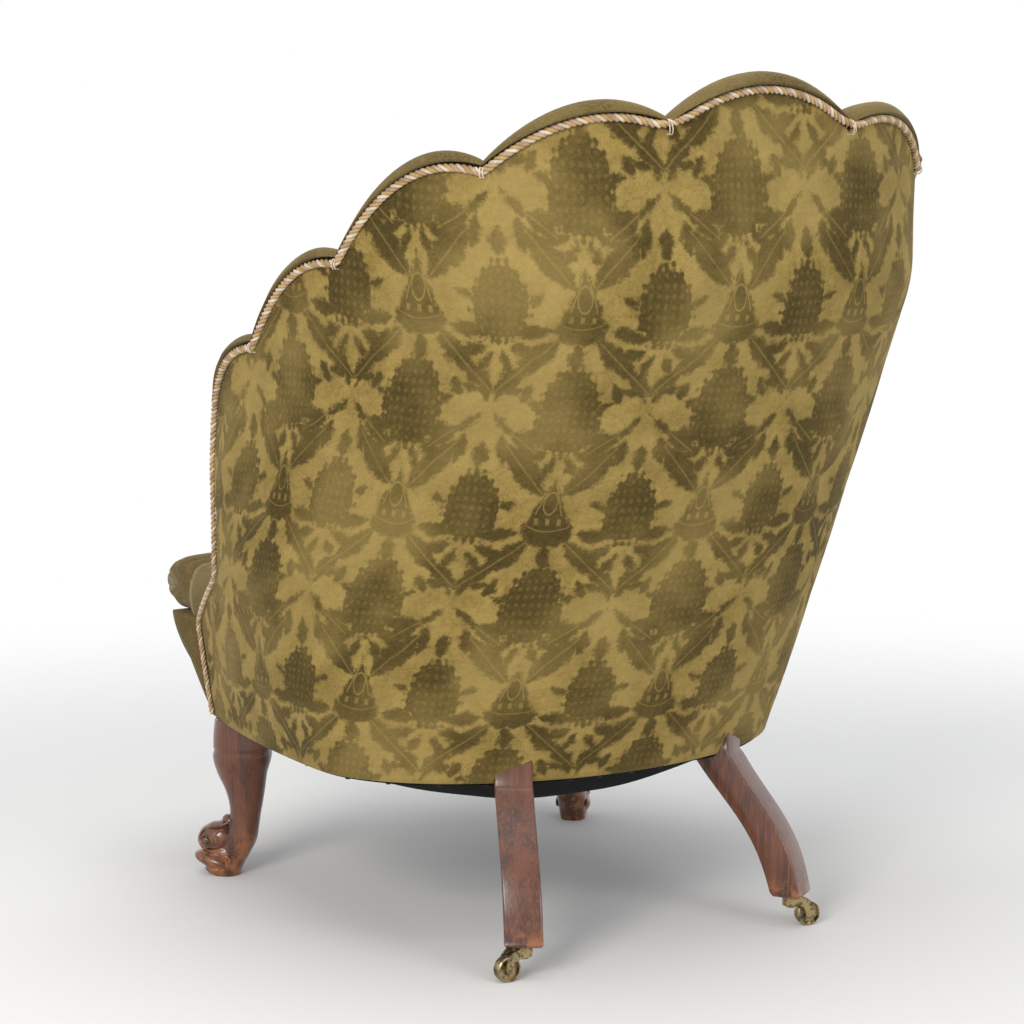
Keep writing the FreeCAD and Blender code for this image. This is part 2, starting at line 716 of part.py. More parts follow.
# Straight runs joined by arcs that touch them, each arc taking a share of the shorter run.
def roundedPath(route):
    edges = []
    here = route[0][0]
    leastRadius = None
    for index in range(1, len(route) - 1):
        corner, share = route[index]
        before = corner - route[index - 1][0]
        after = route[index + 1][0] - corner
        turn = before.getAngle(after)
        if share == 0 or turn < 1e-3:
            continue
        tangent = share * min(before.Length, after.Length)
        radius = tangent / math.tan(turn / 2)
        leastRadius = radius if leastRadius is None else min(radius, leastRadius)
        before.normalize()
        after.normalize()
        start = corner - before * tangent
        end = corner + after * tangent
        inward = (after - before).normalize()
        middle = corner + inward * (radius / math.cos(turn / 2) - radius)
        if (start - here).Length > 1e-6:
            edges.append(Part.LineSegment(here, start).toShape())
        edges.append(Part.Arc(start, middle, end).toShape())
        here = end
    edges.append(Part.LineSegment(here, route[-1][0]).toShape())
    print(f"least bend radius of the cord {leastRadius:.1f} mm")
    return Part.Wire(edges)


cordPath = roundedPath(cordRoute)
firstRun = (cordRoute[1][0] - cordRoute[0][0]).normalize()
cordEnd = Part.Wire(Part.Circle(cordRoute[0][0], firstRun, cordRadius).toShape())
edgeCord = cordPath.makePipeShell([cordEnd], True, False)
print(f"cord length {cordPath.Length:.0f} mm, volume over section times length "
      f"{edgeCord.Volume / (math.pi * cordRadius ** 2 * cordPath.Length):.4f}")
addShape("edge_cord", edgeCord)


# The seat: a crowned cushion cover over its stuffing, a rolled front edge and a bulging front border.
def seatHalf(y):
    behind = y + size("tubCentre")
    if behind <= 0:
        return size("seatHalfWidth")
    share = min(1, behind / size("seatRearReach"))
    return size("seatHalfWidth") * (1 - share ** size("railSquareness")) ** (1 / size("railSquareness"))


def seatSection(y, inset):
    half = seatHalf(y) - inset
    low = size("seatBase") + inset
    side = size("seatBase") + size("seatSide") - inset
    ease = min(1, half / size("seatHalfWidth"))
    top = side + size("seatCrown") * ease
    tuck = 8
    return wire(
        Vector(-half + tuck, y, low), Vector(half - tuck, y, low),
        ("arc", Vector(half, y, (low + side) / 2), Vector(half - tuck, y, side)),
        ("arc", Vector(0, y, top), Vector(-half + tuck, y, side)),
        ("arc", Vector(-half, y, (low + side) / 2), Vector(-half + tuck, y, low)))


def seatShape(inset):
    front = -size("seatFront") + inset
    rear = size("seatRearReach") * 0.97 - size("tubCentre") - inset
    places = [front, front / 2, 0, rear * 0.35, rear * 0.62, rear * 0.82, rear * 0.94, rear]
    return loft([seatSection(y, inset) for y in places], ruled=True)


seatSkin = size("coverThickness")
addShape("seat_cover", seatShape(0).cut(seatShape(seatSkin)))
addShape("seat_stuffing", seatShape(seatSkin + size("softGap")))


def rollSection(x):
    share = abs(x) / size("rollHalfWidth")
    pinch = 1 - 0.42 * share ** 8
    rear = -size("seatFront") - size("softGap")
    middle = (size("rollTop") + size("rollBottom")) / 2
    half = (size("rollTop") - size("rollBottom")) / 2 * pinch
    front = -lerp(size("rollFront"), size("rollFront") - 9, share ** 2)
    belly = lerp(rear, front, 0.62)
    return wire(
        Vector(x, rear, middle - half * 0.8), Vector(x, rear, middle + half * 0.85),
        ("arc", Vector(x, lerp(rear, belly, 0.5), middle + half), Vector(x, belly, middle + half * 0.94)),
        ("arc", Vector(x, front, middle), Vector(x, belly, middle - half * 0.94)),
        ("arc", Vector(x, lerp(rear, belly, 0.5), middle - half), Vector(x, rear, middle - half * 0.8)))


def frontRoll():
    end = size("rollHalfWidth")
    return loft([rollSection(end * share) for share in
                 (-1, -0.96, -0.86, -0.6, -0.3, 0, 0.3, 0.6, 0.86, 0.96, 1)], ruled=True)


# The rolled edge reaches back beside the cushion as far as the arm front, above the cord of the seat side.
def rollEar():
    inner = size("seatHalfWidth") + size("softGap")
    high = size("rollTop") - size("cordSeat")
    sections = []
    for share in (1, 0.75, 0.5, 0.25):
        place = wingStation(share)
        edge = place.at(FRAME_OUTER, place.edge)
        low = place.edge + size("cordSeat") * 1.5
        y = edge.y if share < 1 else -size("seatFront") - size("cordDiameter")
        sections.append(wire(
            Vector(inner, y, low), Vector(inner, y, high),
            ("arc", Vector(edge.x - cordRadius, y, (low + high) / 2), Vector(inner, y, low))))
    return loft(sections, ruled=True)


ear = rollEar()
addShape("seat_front_roll", fuseAll([frontRoll(), ear, mirrored(ear)]))


def borderSection(height):
    share = (height - FOOT) / (size("rollBottom") - FOOT)
    rear = -(size("legPostY") + size("legPostSize") / 2 + size("softGap"))
    front = -lerp(size("borderFootFront"), size("borderTopFront"), share ** 0.8)
    half = CORNER.at(0, height).x - size("cordDiameter") - 1
    corner = min(18, (rear - front) * 0.7)
    return wire(
        Vector(-half, rear, height), Vector(half, rear, height), Vector(half, front + corner, height),
        ("arc", Vector(half - corner * 0.3, front + corner * 0.35, height), Vector(half - corner, front + 2, height)),
        ("arc", Vector(0, front - 4, height), Vector(-half + corner, front + 2, height)),
        ("arc", Vector(-half + corner * 0.3, front + corner * 0.35, height), Vector(-half, front + corner, height)))


borderTop = size("rollBottom") - 2
addShape("seat_front_border", loft([borderSection(lerp(FOOT + size("softGap"), borderTop, share))
                                    for share in (0, 0.33, 0.66, 0.9, 1)]))


# Dowels of the rail joints, and the corner blocks with their screws.
def rod(diameter, length, start, way):
    return Part.makeCylinder(diameter / 2, length, start, way)


def dowelsAt(joint, way):
    start = joint - way * (size("dowelLength") / 2)
    lift = size("railHeight") / 3
    return [rod(size("dowelDiameter"), size("dowelLength"), start + Vector(0, 0, lift * step), way)
            for step in (1, 2)]


frontJoint = Vector(frontRailEnd, -frontRailFace + size("frameThickness") / 2, FOOT)
jointPlace = station(REAR_LOBES, 0)
sideJoint = jointPlace.at((FRAME_OUTER + FRAME_INNER) / 2, FOOT)
sideWay = heading(size("upperArmAzimuth") + 90)
dowels = bothSides(dowelsAt(frontJoint, Vector(1, 0, 0)) + dowelsAt(sideJoint, sideWay))


def blockStations():
    return [station(REAR_LOBES - 1, 0.78), station(REAR_LOBES, 0), station(REAR_LOBES, 0.22)]


blockEdge = size("railHeight") / 12
blockOuter = FRAME_INNER + size("softGap")
sideBlock = loft([quad(place, blockOuter, blockOuter + size("blockDepth"), FOOT + blockEdge,
                       RAIL_TOP - blockEdge) for place in blockStations()], ruled=True)
blockLength = size("blockDepth") * 2
frontBlock = Part.makeBox(blockLength, size("blockDepth"), size("railHeight") - 2 * blockEdge,
                          Vector(frontRailEnd - blockLength, -frontRailFace + size("frameThickness"),
                                 FOOT + blockEdge))


def blockScrews():
    screws = []
    for place in (blockStations()[0], blockStations()[2]):
        start = place.at(FRAME_INNER + size("blockDepth"), FOOT + size("railHeight") / 2)
        start = start + (sideBlock.BoundBox.Center - start) * 0.25
        start.z = FOOT + size("railHeight") / 2
        screws.append(rod(size("blockScrewDiameter"), size("blockScrewLength"), start, place.outward))
    start = Vector(frontRailEnd - blockLength / 2,
                   -frontRailFace + size("frameThickness") + size("blockDepth"), FOOT + size("railHeight") / 2)
    screws.append(rod(size("blockScrewDiameter"), size("blockScrewLength"), start, Vector(0, -1, 0)))
    return screws


screws = bothSides(blockScrews())


# Sheets under the frame: webbing in two directions, then the sagging cloth and its tacks.
webTop = FOOT - 0.1
webMiddle = webTop - size("webbingThickness") - 0.05
clothTop = webMiddle - size("webbingThickness") - 0.05
clothEdge = 8


def frameHalfAt(y, inset):
    behind = y + size("tubCentre")
    if behind >= 0:
        share = min(1, behind / size("railRearReach"))
        return size("railHalfWidth") * (1 - share ** size("railSquareness")) ** (1 / size("railSquareness")) - inset
    return size("railHalfWidth") * math.sqrt(1 - (behind / size("railFrontReach")) ** 2) - inset


def clothSection(y, sag):
    half = frameHalfAt(y, clothEdge)
    inner = half - size("dustMargin")
    low = clothTop - size("dustThickness")
    return wire(
        Vector(-half, y, low), Vector(-inner, y, low),
        ("arc", Vector(0, y, low - sag), Vector(inner, y, low)), Vector(half, y, low),
        Vector(half, y, clothTop), Vector(inner, y, clothTop),
        ("arc", Vector(0, y, clothTop - sag), Vector(-inner, y, clothTop)), Vector(-half, y, clothTop))


# The cloth lies flat along its edges and drops between them like a shallow bag.
def dustCover():
    front = -frontRailFace + clothEdge
    rear = size("railRearReach") - size("tubCentre") - clothEdge * 2
    flat = 0.5
    sections = [clothSection(front, flat)]
    inset = size("dustMargin")
    for share in (0, 0.25, 0.5, 0.75, 1):
        sag = flat + size("dustSag") * math.sin(math.pi / 2 * share) ** 0.8
        sections.append(clothSection(front + inset + size("dustSlope") * share, sag))
    for share in (1, 0.75, 0.5, 0.25, 0):
        sag = flat + size("dustSag") * math.sin(math.pi / 2 * share) ** 0.8
        sections.append(clothSection(rear - inset - size("dustSlope") * share, sag))
    sections.append(clothSection(rear, flat))
    return loft(sections, ruled=True)


def tackPlaces():
    places = [station(0, share) for share in (0.1, 0.5, 0.9)]
    places += [station(1, 0.3)]
    left = [station(2, 0.3), station(2, 0.8), station(3, 0.35), station(3, 0.85), station(4, 0.3), station(4, 0.7)]
    left += [station(1, 0.3)]
    points = [place.at(clothEdge + 4, FOOT) for place in places[:3]]
    side = [place.at(clothEdge + 4, FOOT) for place in left]
    points += side + [Vector(-point.x, point.y, point.z) for point in side]
    points += [Vector(x, -frontRailFace + clothEdge + 4, FOOT) for x in (-150, -50, 50, 150)]
    return points


tackTop = clothTop - size("dustThickness") - 0.8
tackPins = [rod(size("tackPin"), size("tackLength"), Vector(point.x, point.y, tackTop), Vector(0, 0, 1))
            for point in tackPlaces()]
tackHeads = [rod(size("tackHead"), 1, Vector(point.x, point.y, tackTop - 1), Vector(0, 0, 1))
             for point in tackPlaces()]
addShape("underside_tacks", Part.makeCompound([pin.fuse(head) for pin, head in zip(tackPins, tackHeads)]))
pinCutter = Part.makeCompound(tackPins)
legCutter = fuseAll(bothSides([legShape, sabreLeft]))
addShape("dust_cover", dustCover().cut(legCutter).cut(pinCutter))


def strip(low, corner, across, along):
    box = Part.makeBox(across, along, size("webbingThickness"), Vector(corner[0], corner[1], low))
    return box


def seatWebbing():
    width = size("webbingWidth")
    front = -frontRailFace + clothEdge
    strips = []
    for x in (-180, -90, 0, 90, 180):
        rear = size("railRearReach") - size("tubCentre") - clothEdge - abs(x) * 0.42
        strips.append(strip(webTop - size("webbingThickness"), (x - width / 2, front), width, rear - front))
    for y in (-250, -170, -90, -10, 70):
        half = frameHalfAt(max(y, y + width), clothEdge) - 2
        strips.append(strip(webMiddle - size("webbingThickness"), (-half, y), 2 * half, width))
    return Part.makeCompound([one.cut(legCutter).cut(pinCutter) for one in strips])


addShape("seat_webbing", seatWebbing())


# Springs stand on the webbing and carry the seat hessian.
def spring(x, y):
    low = FOOT
    high = size("seatBase") - size("hessianThickness") - 3 * size("softGap")
    half = (high - low) / 2
    lower = Part.makeCone(size("springDiameter") / 2, size("springWaist") / 2, half, Vector(x, y, low))
    upper = Part.makeCone(size("springWaist") / 2, size("springDiameter") / 2, half, Vector(x, y, low + half))
    return lower.fuse(upper)


pitch = size("springSpacing")
springRow = -frontRailFace + size("frameThickness") + pitch / 2
springPlaces = [(column * pitch, springRow + line * pitch) for line in range(3) for column in (-1, 0, 1)]
springPlaces.append((0, springRow + 3 * pitch))
addShape("seat_springs", Part.makeCompound([spring(x, y) for x, y in springPlaces]))


def seatHessian():
    low = size("seatBase") - size("hessianThickness") - size("softGap")
    half = size("seatHalfWidth") - 12
    rear = size("seatRearReach") - size("tubCentre") - 12
    front = -size("seatFront") + 6
    outline = wire(
        Vector(-half, front, low), Vector(half, front, low), Vector(half, rear * 0.2, low),
        ("arc", Vector(half * 0.78, rear * 0.70, low), Vector(half * 0.4, rear * 0.95, low)),
        Vector(-half * 0.4, rear * 0.95, low),
        ("arc", Vector(-half * 0.78, rear * 0.70, low), Vector(-half, rear * 0.2, low)))
    return Part.Face(outline).extrude(Vector(0, 0, size("hessianThickness")))


addShape("seat_hessian", seatHessian())

# Frame parts, bored for their fasteners.
fasteners = Part.makeCompound(dowels + screws + tackPins)
frontRail = primitive("Box", "front_rail_blank",
                      Length=(formula("legPostX") - formula("legPostSize") / 2) * 2,
                      Width="frameThickness", Height="railHeight")
frontRail.Placement = Placement(Vector(-frontRailEnd, -frontRailFace, FOOT), Rotation())
doc.recompute()
addShape("seat_rail_front", frontRail.Shape.cut(fasteners))
addShape("seat_rail_rear", railRear.cut(fasteners))
addPair("seat_rail", railSide.cut(fasteners))
addPair("front_leg", legShape.cut(fasteners))
blocks = [block.cut(fasteners) for block in bothSides([sideBlock, frontBlock])]
addShape("corner_blocks", Part.makeCompound(blocks))
addShape("corner_block_screws", Part.makeCompound(screws))
addShape("rail_dowels", Part.makeCompound(dowels))
addShape("outside_cover", outsideCover)


# Casters, each in its own frame: the swivel axis is Z, the wheel trails along +X.
def originPlane(body, role):
    return next(item for item in body.Origin.OriginFeatures if item.Role == role)


def profile(body, points, role):
    sketch = body.newObject("Sketcher::SketchObject", body.Name + "_outline")
    sketch.AttachmentSupport = [(originPlane(body, role), "")]
    sketch.MapMode = "FlatFace"
    count = len(points)
    for index in range(count):
        start, end = points[index], points[(index + 1) % count]
        sketch.addGeometry(Part.LineSegment(Vector(start[0].value, start[1].value, 0),
                                            Vector(end[0].value, end[1].value, 0)))
    for index in range(count):
        sketch.addConstraint(Sketcher.Constraint("Coincident", index, 2, (index + 1) % count, 1))
    for index, point in enumerate(points):
        for kind, item in (("DistanceX", point[0]), ("DistanceY", point[1])):
            number = sketch.addConstraint(Sketcher.Constraint(kind, -1, 1, index, 1, item.value))
            sketch.setExpression(f"Constraints[{number}]", item.text)
    return sketch


def turned(name, points):
    body = doc.addObject("PartDesign::Body", name)
    sketch = profile(body, points, "XZ_Plane")
    spin = body.newObject("PartDesign::Revolution", name + "_turning")
    spin.Profile = sketch
    spin.ReferenceAxis = (sketch, ["V_Axis"])
    spin.Angle = 360
    doc.recompute()
    return body


half = formula("wheelWidth") / 2
bore = formula("axleDiameter") / 2 + "axleFit"
rim = formula("wheelRadius") - "wheelRim"
hollow = half - "wheelDish"
chamfer = formula("wheelRim") / 2
rounded = formula("wheelRadius") - chamfer
wheelOutline = [(bore, -half), (formula("wheelHub"), -half), (formula("wheelHub") + chamfer, -hollow),
                (rim, -hollow), (rim, -half), (rounded, -half), (formula("wheelRadius"), chamfer - half),
                (formula("wheelRadius"), half - chamfer), (rounded, half), (rim, half), (rim, hollow),
                (formula("wheelHub") + chamfer, hollow), (formula("wheelHub"), half), (bore, half)]
plateFoot = formula("toeHeight") - "plateThickness"
plateOutline = [(formula("pinDiameter") / 2, plateFoot),
                (formula("plateDiameter") / 2 - 1, plateFoot),
                (formula("plateDiameter") / 2, plateFoot + 1),
                (formula("plateDiameter") / 2, formula("toeHeight")),
                (formula("pinDiameter") / 2, formula("toeHeight"))]
collarTop = plateFoot - "runningGap"
collarFoot = collarTop - "collarHeight"
pinHeadTop = collarFoot - "runningGap"
pinHead = formula("pinDiameter") * 0.75
pinTop = formula("toeHeight") + "pinRoot"
pinOutline = [(formula(0.0), pinHeadTop - 2.5), (pinHead - 1, pinHeadTop - 2.5), (pinHead, pinHeadTop - 1.5),
              (pinHead, pinHeadTop), (formula("pinDiameter") / 2, pinHeadTop),
              (formula("pinDiameter") / 2, pinTop), (formula(0.0), pinTop)]
upright = Rotation(Vector(1, 0, 0), 90)


def screwShape(x, y):
    foot = size("toeHeight") - size("plateThickness")
    radius = size("screwDiameter") / 2
    head = Part.makeCone(radius * 1.9, radius, size("plateThickness"), Vector(x, y, foot))
    return head.fuse(rod(2 * radius, size("screwLength"), Vector(x, y, size("toeHeight")), Vector(0, 0, 1)))


def forkShape():
    near = size("wheelWidth") / 2 + size("armGap")
    far = near + size("armThickness")
    trail = size("casterTrail")
    axleHeight = size("wheelRadius")
    eye = size("axleDiameter") + 1.2
    top = collarTop.value
    low = collarFoot.value
    shapes = [rod(size("collarDiameter"), size("collarHeight"), Vector(0, 0, low), Vector(0, 0, 1)),
              Part.makeBox(size("collarDiameter") / 2 + 3, 2 * far, 4.2, Vector(0, -far, top - 4.2))]
    for side in (near, -far):
        arm = wire(
            Vector(-2, side, top), Vector(trail * 0.6, side, top),
            ("arc", Vector(trail * 1.1, side, lerp(top, axleHeight, 0.36)),
             Vector(trail + eye, side, axleHeight)),
            Vector(trail - eye, side, axleHeight),
            ("arc", Vector(trail * 0.62, side, lerp(axleHeight, top, 0.36)), Vector(trail * 0.36, side, low)),
            Vector(-2, side, low))
        shapes.append(Part.Face(arm).extrude(Vector(0, far - near, 0)))
        shapes.append(rod(2 * eye, far - near, Vector(trail, side, axleHeight), Vector(0, 1, 0)))
    bore = rod(size("pinDiameter") + 2 * size("pinFit"), 40, Vector(0, 0, low - 10), Vector(0, 0, 1))
    axle = rod(size("axleDiameter"), 2 * far, Vector(trail, -far, axleHeight), Vector(0, 1, 0))
    return fuseAll(shapes).cut(bore).cut(axle)


plateTurn = size("leftHeading")
leftPlate = Placement(Vector(size("sabreToeX"), size("sabreToeY"), 0), Rotation(Vector(0, 0, 1), plateTurn))
rightPlate = Placement(Vector(-size("sabreToeX"), size("sabreToeY"), 0),
                       Rotation(Vector(0, 0, 1), 180 - plateTurn))
plate = turned("caster_plate_blank", plateOutline)
pin = turned("caster_pin_blank", pinOutline)
plateScrews = [screwShape(x, y) for x, y in plateScrewPlaces()]
plateShape = plate.Shape.cut(Part.makeCompound(plateScrews))
placings = (leftPlate.toMatrix(), rightPlate.toMatrix())
addShape("caster_plates", Part.makeCompound([plateShape.transformed(matrix) for matrix in placings]))
addShape("caster_pins", Part.makeCompound([pin.Shape.transformed(matrix) for matrix in placings]))
addShape("caster_screws", Part.makeCompound([screw.transformed(matrix) for matrix in placings
                                             for screw in plateScrews]))
for side, placing in (("left", leftCaster), ("right", rightCaster)):
    fork = addShape(f"caster_fork_{side}", forkShape())
    fork.Placement = placing
    wheel = turned(f"caster_wheel_{side}", wheelOutline)
    axleLine = Placement(Vector(size("casterTrail"), 0, size("wheelRadius")), upright)
    wheel.Placement = placing.multiply(axleLine)
    keep(wheel, f"caster_wheel_{side}")
    axleHalf = size("wheelWidth") / 2 + size("armGap") + size("armThickness")
    axle = primitive("Cylinder", f"caster_axle_{side}", Radius=formula("axleDiameter") / 2,
                     Height=(formula("wheelWidth") / 2 + "armGap" + "armThickness") * 2)
    axle.Placement = placing.multiply(Placement(
        Vector(size("casterTrail"), axleHalf, size("wheelRadius")), upright))
    keep(axle, f"caster_axle_{side}")

doc.recompute()
for item in doc.Objects:
    if "Invalid" in item.State or "Error" in item.State:
        raise RuntimeError(f"{item.Label} failed: {item.State}")
os.makedirs("parts", exist_ok=True)
for node in nodes:
    if node.Shape.isNull() or not node.Shape.isValid() or not node.Shape.Solids:
        raise RuntimeError(f"{node.Label} has no valid solid")
    node.Shape.exportStep(f"parts/{node.Label}.step")
print(f"{len(nodes)} nodes written")
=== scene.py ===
import math
import bmesh
import bpy
import numpy as np
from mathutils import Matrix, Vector


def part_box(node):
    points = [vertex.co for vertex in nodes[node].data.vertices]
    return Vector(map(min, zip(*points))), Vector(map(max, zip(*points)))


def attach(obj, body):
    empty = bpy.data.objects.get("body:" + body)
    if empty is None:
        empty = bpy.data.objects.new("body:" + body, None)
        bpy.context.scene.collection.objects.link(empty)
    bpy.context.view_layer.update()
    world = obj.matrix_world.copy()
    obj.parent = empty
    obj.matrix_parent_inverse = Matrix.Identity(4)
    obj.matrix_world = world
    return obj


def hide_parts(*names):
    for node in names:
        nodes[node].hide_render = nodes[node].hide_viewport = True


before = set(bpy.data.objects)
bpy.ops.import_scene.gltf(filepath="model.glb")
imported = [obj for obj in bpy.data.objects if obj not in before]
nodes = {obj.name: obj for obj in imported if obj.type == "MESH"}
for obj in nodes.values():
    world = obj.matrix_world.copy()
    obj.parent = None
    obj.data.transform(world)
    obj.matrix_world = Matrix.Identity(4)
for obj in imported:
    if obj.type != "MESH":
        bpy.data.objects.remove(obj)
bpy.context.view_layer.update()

# Lengths are in mm until a mesh is made.
mm = 0.001


# Shader values: arithmetic on a Value adds Math nodes.
class Value:
    def __init__(self, paint, socket):
        self.paint = paint
        self.socket = socket

    def math(self, operation, *values):
        return self.paint.node("ShaderNodeMath", {"operation": operation}, dict(enumerate(values)))

    def root(self):
        return self.math("SQRT", self)

    def cosine(self):
        return self.math("COSINE", self)

    def sine(self):
        return self.math("SINE", self)

    def out(self, name):
        return Value(self.paint, self.socket.node.outputs[name])

    def __add__(self, other):
        return self.math("ADD", self, other)

    def __radd__(self, other):
        return self.math("ADD", other, self)

    def __sub__(self, other):
        return self.math("SUBTRACT", self, other)

    def __rsub__(self, other):
        return self.math("SUBTRACT", other, self)

    def __mul__(self, other):
        return self.math("MULTIPLY", self, other)

    def __rmul__(self, other):
        return self.math("MULTIPLY", other, self)

    def __truediv__(self, other):
        return self.math("DIVIDE", self, other)

    def __rtruediv__(self, other):
        return self.math("DIVIDE", other, self)

    def __abs__(self):
        return self.math("ABSOLUTE", self)

    def least(self, other):
        return self.math("MINIMUM", self, other)

    def most(self, other):
        return self.math("MAXIMUM", self, other)

    # 0 at low, 1 at high, with level ends.
    def step(self, low, high):
        return self.paint.node("ShaderNodeMapRange", {"interpolation_type": "SMOOTHSTEP"},
                               {"Value": self, "From Min": low, "From Max": high})


class Paint:
    def __init__(self, name, **finish):
        self.material = bpy.data.materials.new(name)
        self.material.use_nodes = True
        self.tree = self.material.node_tree
        self.surface = self.tree.nodes["Principled BSDF"]
        for key, value in finish.items():
            self.give(key, value)

    def give(self, key, value):
        names = {
            "colour": "Base Color",
            "roughness": "Roughness",
            "metallic": "Metallic",
            "coat": "Coat Weight",
            "coatRoughness": "Coat Roughness",
            "sheen": "Sheen Weight",
            "sheenRoughness": "Sheen Roughness",
            "sheenTint": "Sheen Tint",
            "specular": "Specular IOR Level",
            "normal": "Normal",
            "alpha": "Alpha",
        }
        self.put(self.surface.inputs[names[key]], value)

    def put(self, socket, value):
        if isinstance(value, Value):
            self.tree.links.new(value.socket, socket)
        elif isinstance(value, tuple) and len(value) == 3 and socket.type == "RGBA":
            socket.default_value = (*value, 1.0)
        else:
            socket.default_value = value

    def node(self, kind, settings, values):
        made = self.tree.nodes.new(kind)
        for key, value in settings.items():
            setattr(made, key, value)
        shown = [socket for socket in made.inputs if socket.enabled]
        for key, value in values.items():
            named = [socket for socket in shown if socket.name == key]
            socket = named[0] if named else shown[key]
            self.put(socket, value)
        return Value(self, next(socket for socket in made.outputs if socket.enabled))

    def place(self):
        return self.node("ShaderNodeTexCoord", {}, {}).out("Object")

    def scaled(self, x, y, z):
        stretch = {0: self.place(), 1: (x, y, z)}
        return self.node("ShaderNodeVectorMath", {"operation": "MULTIPLY"}, stretch)

    def parts(self, vector):
        split = self.node("ShaderNodeSeparateXYZ", {}, {"Vector": vector})
        return split.out("X"), split.out("Y"), split.out("Z")

    def noise(self, vector, scale, detail=2.0, rough=0.5):
        grain = {"Vector": vector, "Scale": scale, "Detail": detail, "Roughness": rough}
        return self.node("ShaderNodeTexNoise", {}, grain)

    def mix(self, share, first, second):
        shares = {"Factor": share, "A": first, "B": second}
        return self.node("ShaderNodeMix", {"data_type": "RGBA"}, shares)

    def bump(self, height, distance, strength):
        relief = {"Height": height, "Distance": distance, "Strength": strength}
        return self.node("ShaderNodeBump", {}, relief)


# The cut velvet: crowns and pineapples in mirrored columns, with leafy branches between them.
# Lengths in mm. A leaf is (foot x, foot y, tip x, tip y, half width), x counted away from its column.
damask = {
    "column": 173.4,
    "row": 230.0,
    "lean": 0.052,
    "originX": 195.4,
    "originY": 460.0,
    "ground": (0.375, 0.262, 0.078),
    "shade": (0.190, 0.128, 0.033),
    "worn": (0.400, 0.290, 0.098),
    "pile": (0.028, 0.019, 0.005),
    "nap": (0.095, 0.066, 0.019),
}
fruitLeaves = [
    (0, 44, 0, 76, 9), (12, -34, 57, -26, 9), (12, -46, 46, -58, 8), (5, -52, 20, -78, 6), (26, 2, 47, 10, 5)]
crownLeaves = [(9, 16, 62, 76, 15), (18, -34, 66, -80, 12), (52, -66, 88, -100, 10), (44, -84, 54, -106, 7)]
knotLeaves = [
    (3, 6, 24, 46, 6), (5, -6, 34, -34, 5), (26, -24, 64, -52, 10), (20, -30, 28, -66, 8),
    (10, 20, 36, 24, 6)]
veinedFrom = 10


# Distance inside a leaf: 4 t (1 - t) times its half width, less the distance from its midrib, where t runs
# from foot to tip. Leaves of some width have a light vein along the midrib.
def leafField(x, y, leaf):
    footX, footY, tipX, tipY, half = leaf
    run = math.hypot(tipX - footX, tipY - footY)
    wayX = (tipX - footX) / run
    wayY = (tipY - footY) / run
    along = (x * wayX + y * wayY - (footX * wayX + footY * wayY)) / run
    across = abs(x * wayY - y * wayX - (footX * wayY - footY * wayX))
    inside = along * (1.0 - along) * (4.0 * half) - across
    vein = (1.6 - across).least(inside - 1.5) if half >= veinedFrom else None
    return inside, vein


def fieldOf(x, y, leaves):
    whole = None
    veins = None
    for leaf in leaves:
        inside, vein = leafField(x, y, leaf)
        whole = inside if whole is None else whole.most(inside)
        if vein is not None:
            veins = vein if veins is None else veins.most(vein)
    return whole, veins


# Distance inside an egg that narrows upwards.
def fruitField(x, y, halfWidth, halfHeight):
    waist = 1.0 + y * (0.18 / halfHeight)
    spread = x * waist / halfWidth
    rise = y / halfHeight
    return (1.0 - (spread * spread + rise * rise).root()) * halfWidth


# Overlapping scales: crests of two crossing waves.
def scaleField(x, y):
    turn = 2 * math.pi / 17.0
    one = (x + y * 0.8) * turn
    other = (x - y * 0.8) * turn
    return one.cosine() * other.cosine()


# Distance inside a crown: a flat oval base under a pointed top.
def crownField(x, y):
    base = (1.0 - ((x / 29.0) * (x / 29.0) + ((y + 26.0) / 17.0) * ((y + 26.0) / 17.0))) * 12.0
    spire = (40.0 - y) * 0.42 - x
    return base.most(spire.least(y + 30.0).least(25.0 - x))


# Light lines on the crown: a drop, a row of pearls, a band and the two slopes.
def crownLines(x, y):
    ring = abs((x * x / 49.0 + (y - 8.0) * (y - 8.0) / 190.0) - 1.0)
    drop = 0.24 - ring
    beads = (x * (math.pi / 6.0)).cosine().least(1.0 - abs(y + 14.0) / 6.0)
    band = 1.3 - abs(y + 25.0 - x * x * 0.012)
    side = 1.4 - abs((40.0 - y) * 0.30 - x)
    slopes = side.step(0.0, 1.0) * (y + 8.0).step(0.0, 4.0)
    return drop.step(0.0, 0.12).most(beads.step(0.2, 0.6)).most(band.step(0.0, 1.0) * 0.7).most(slopes)


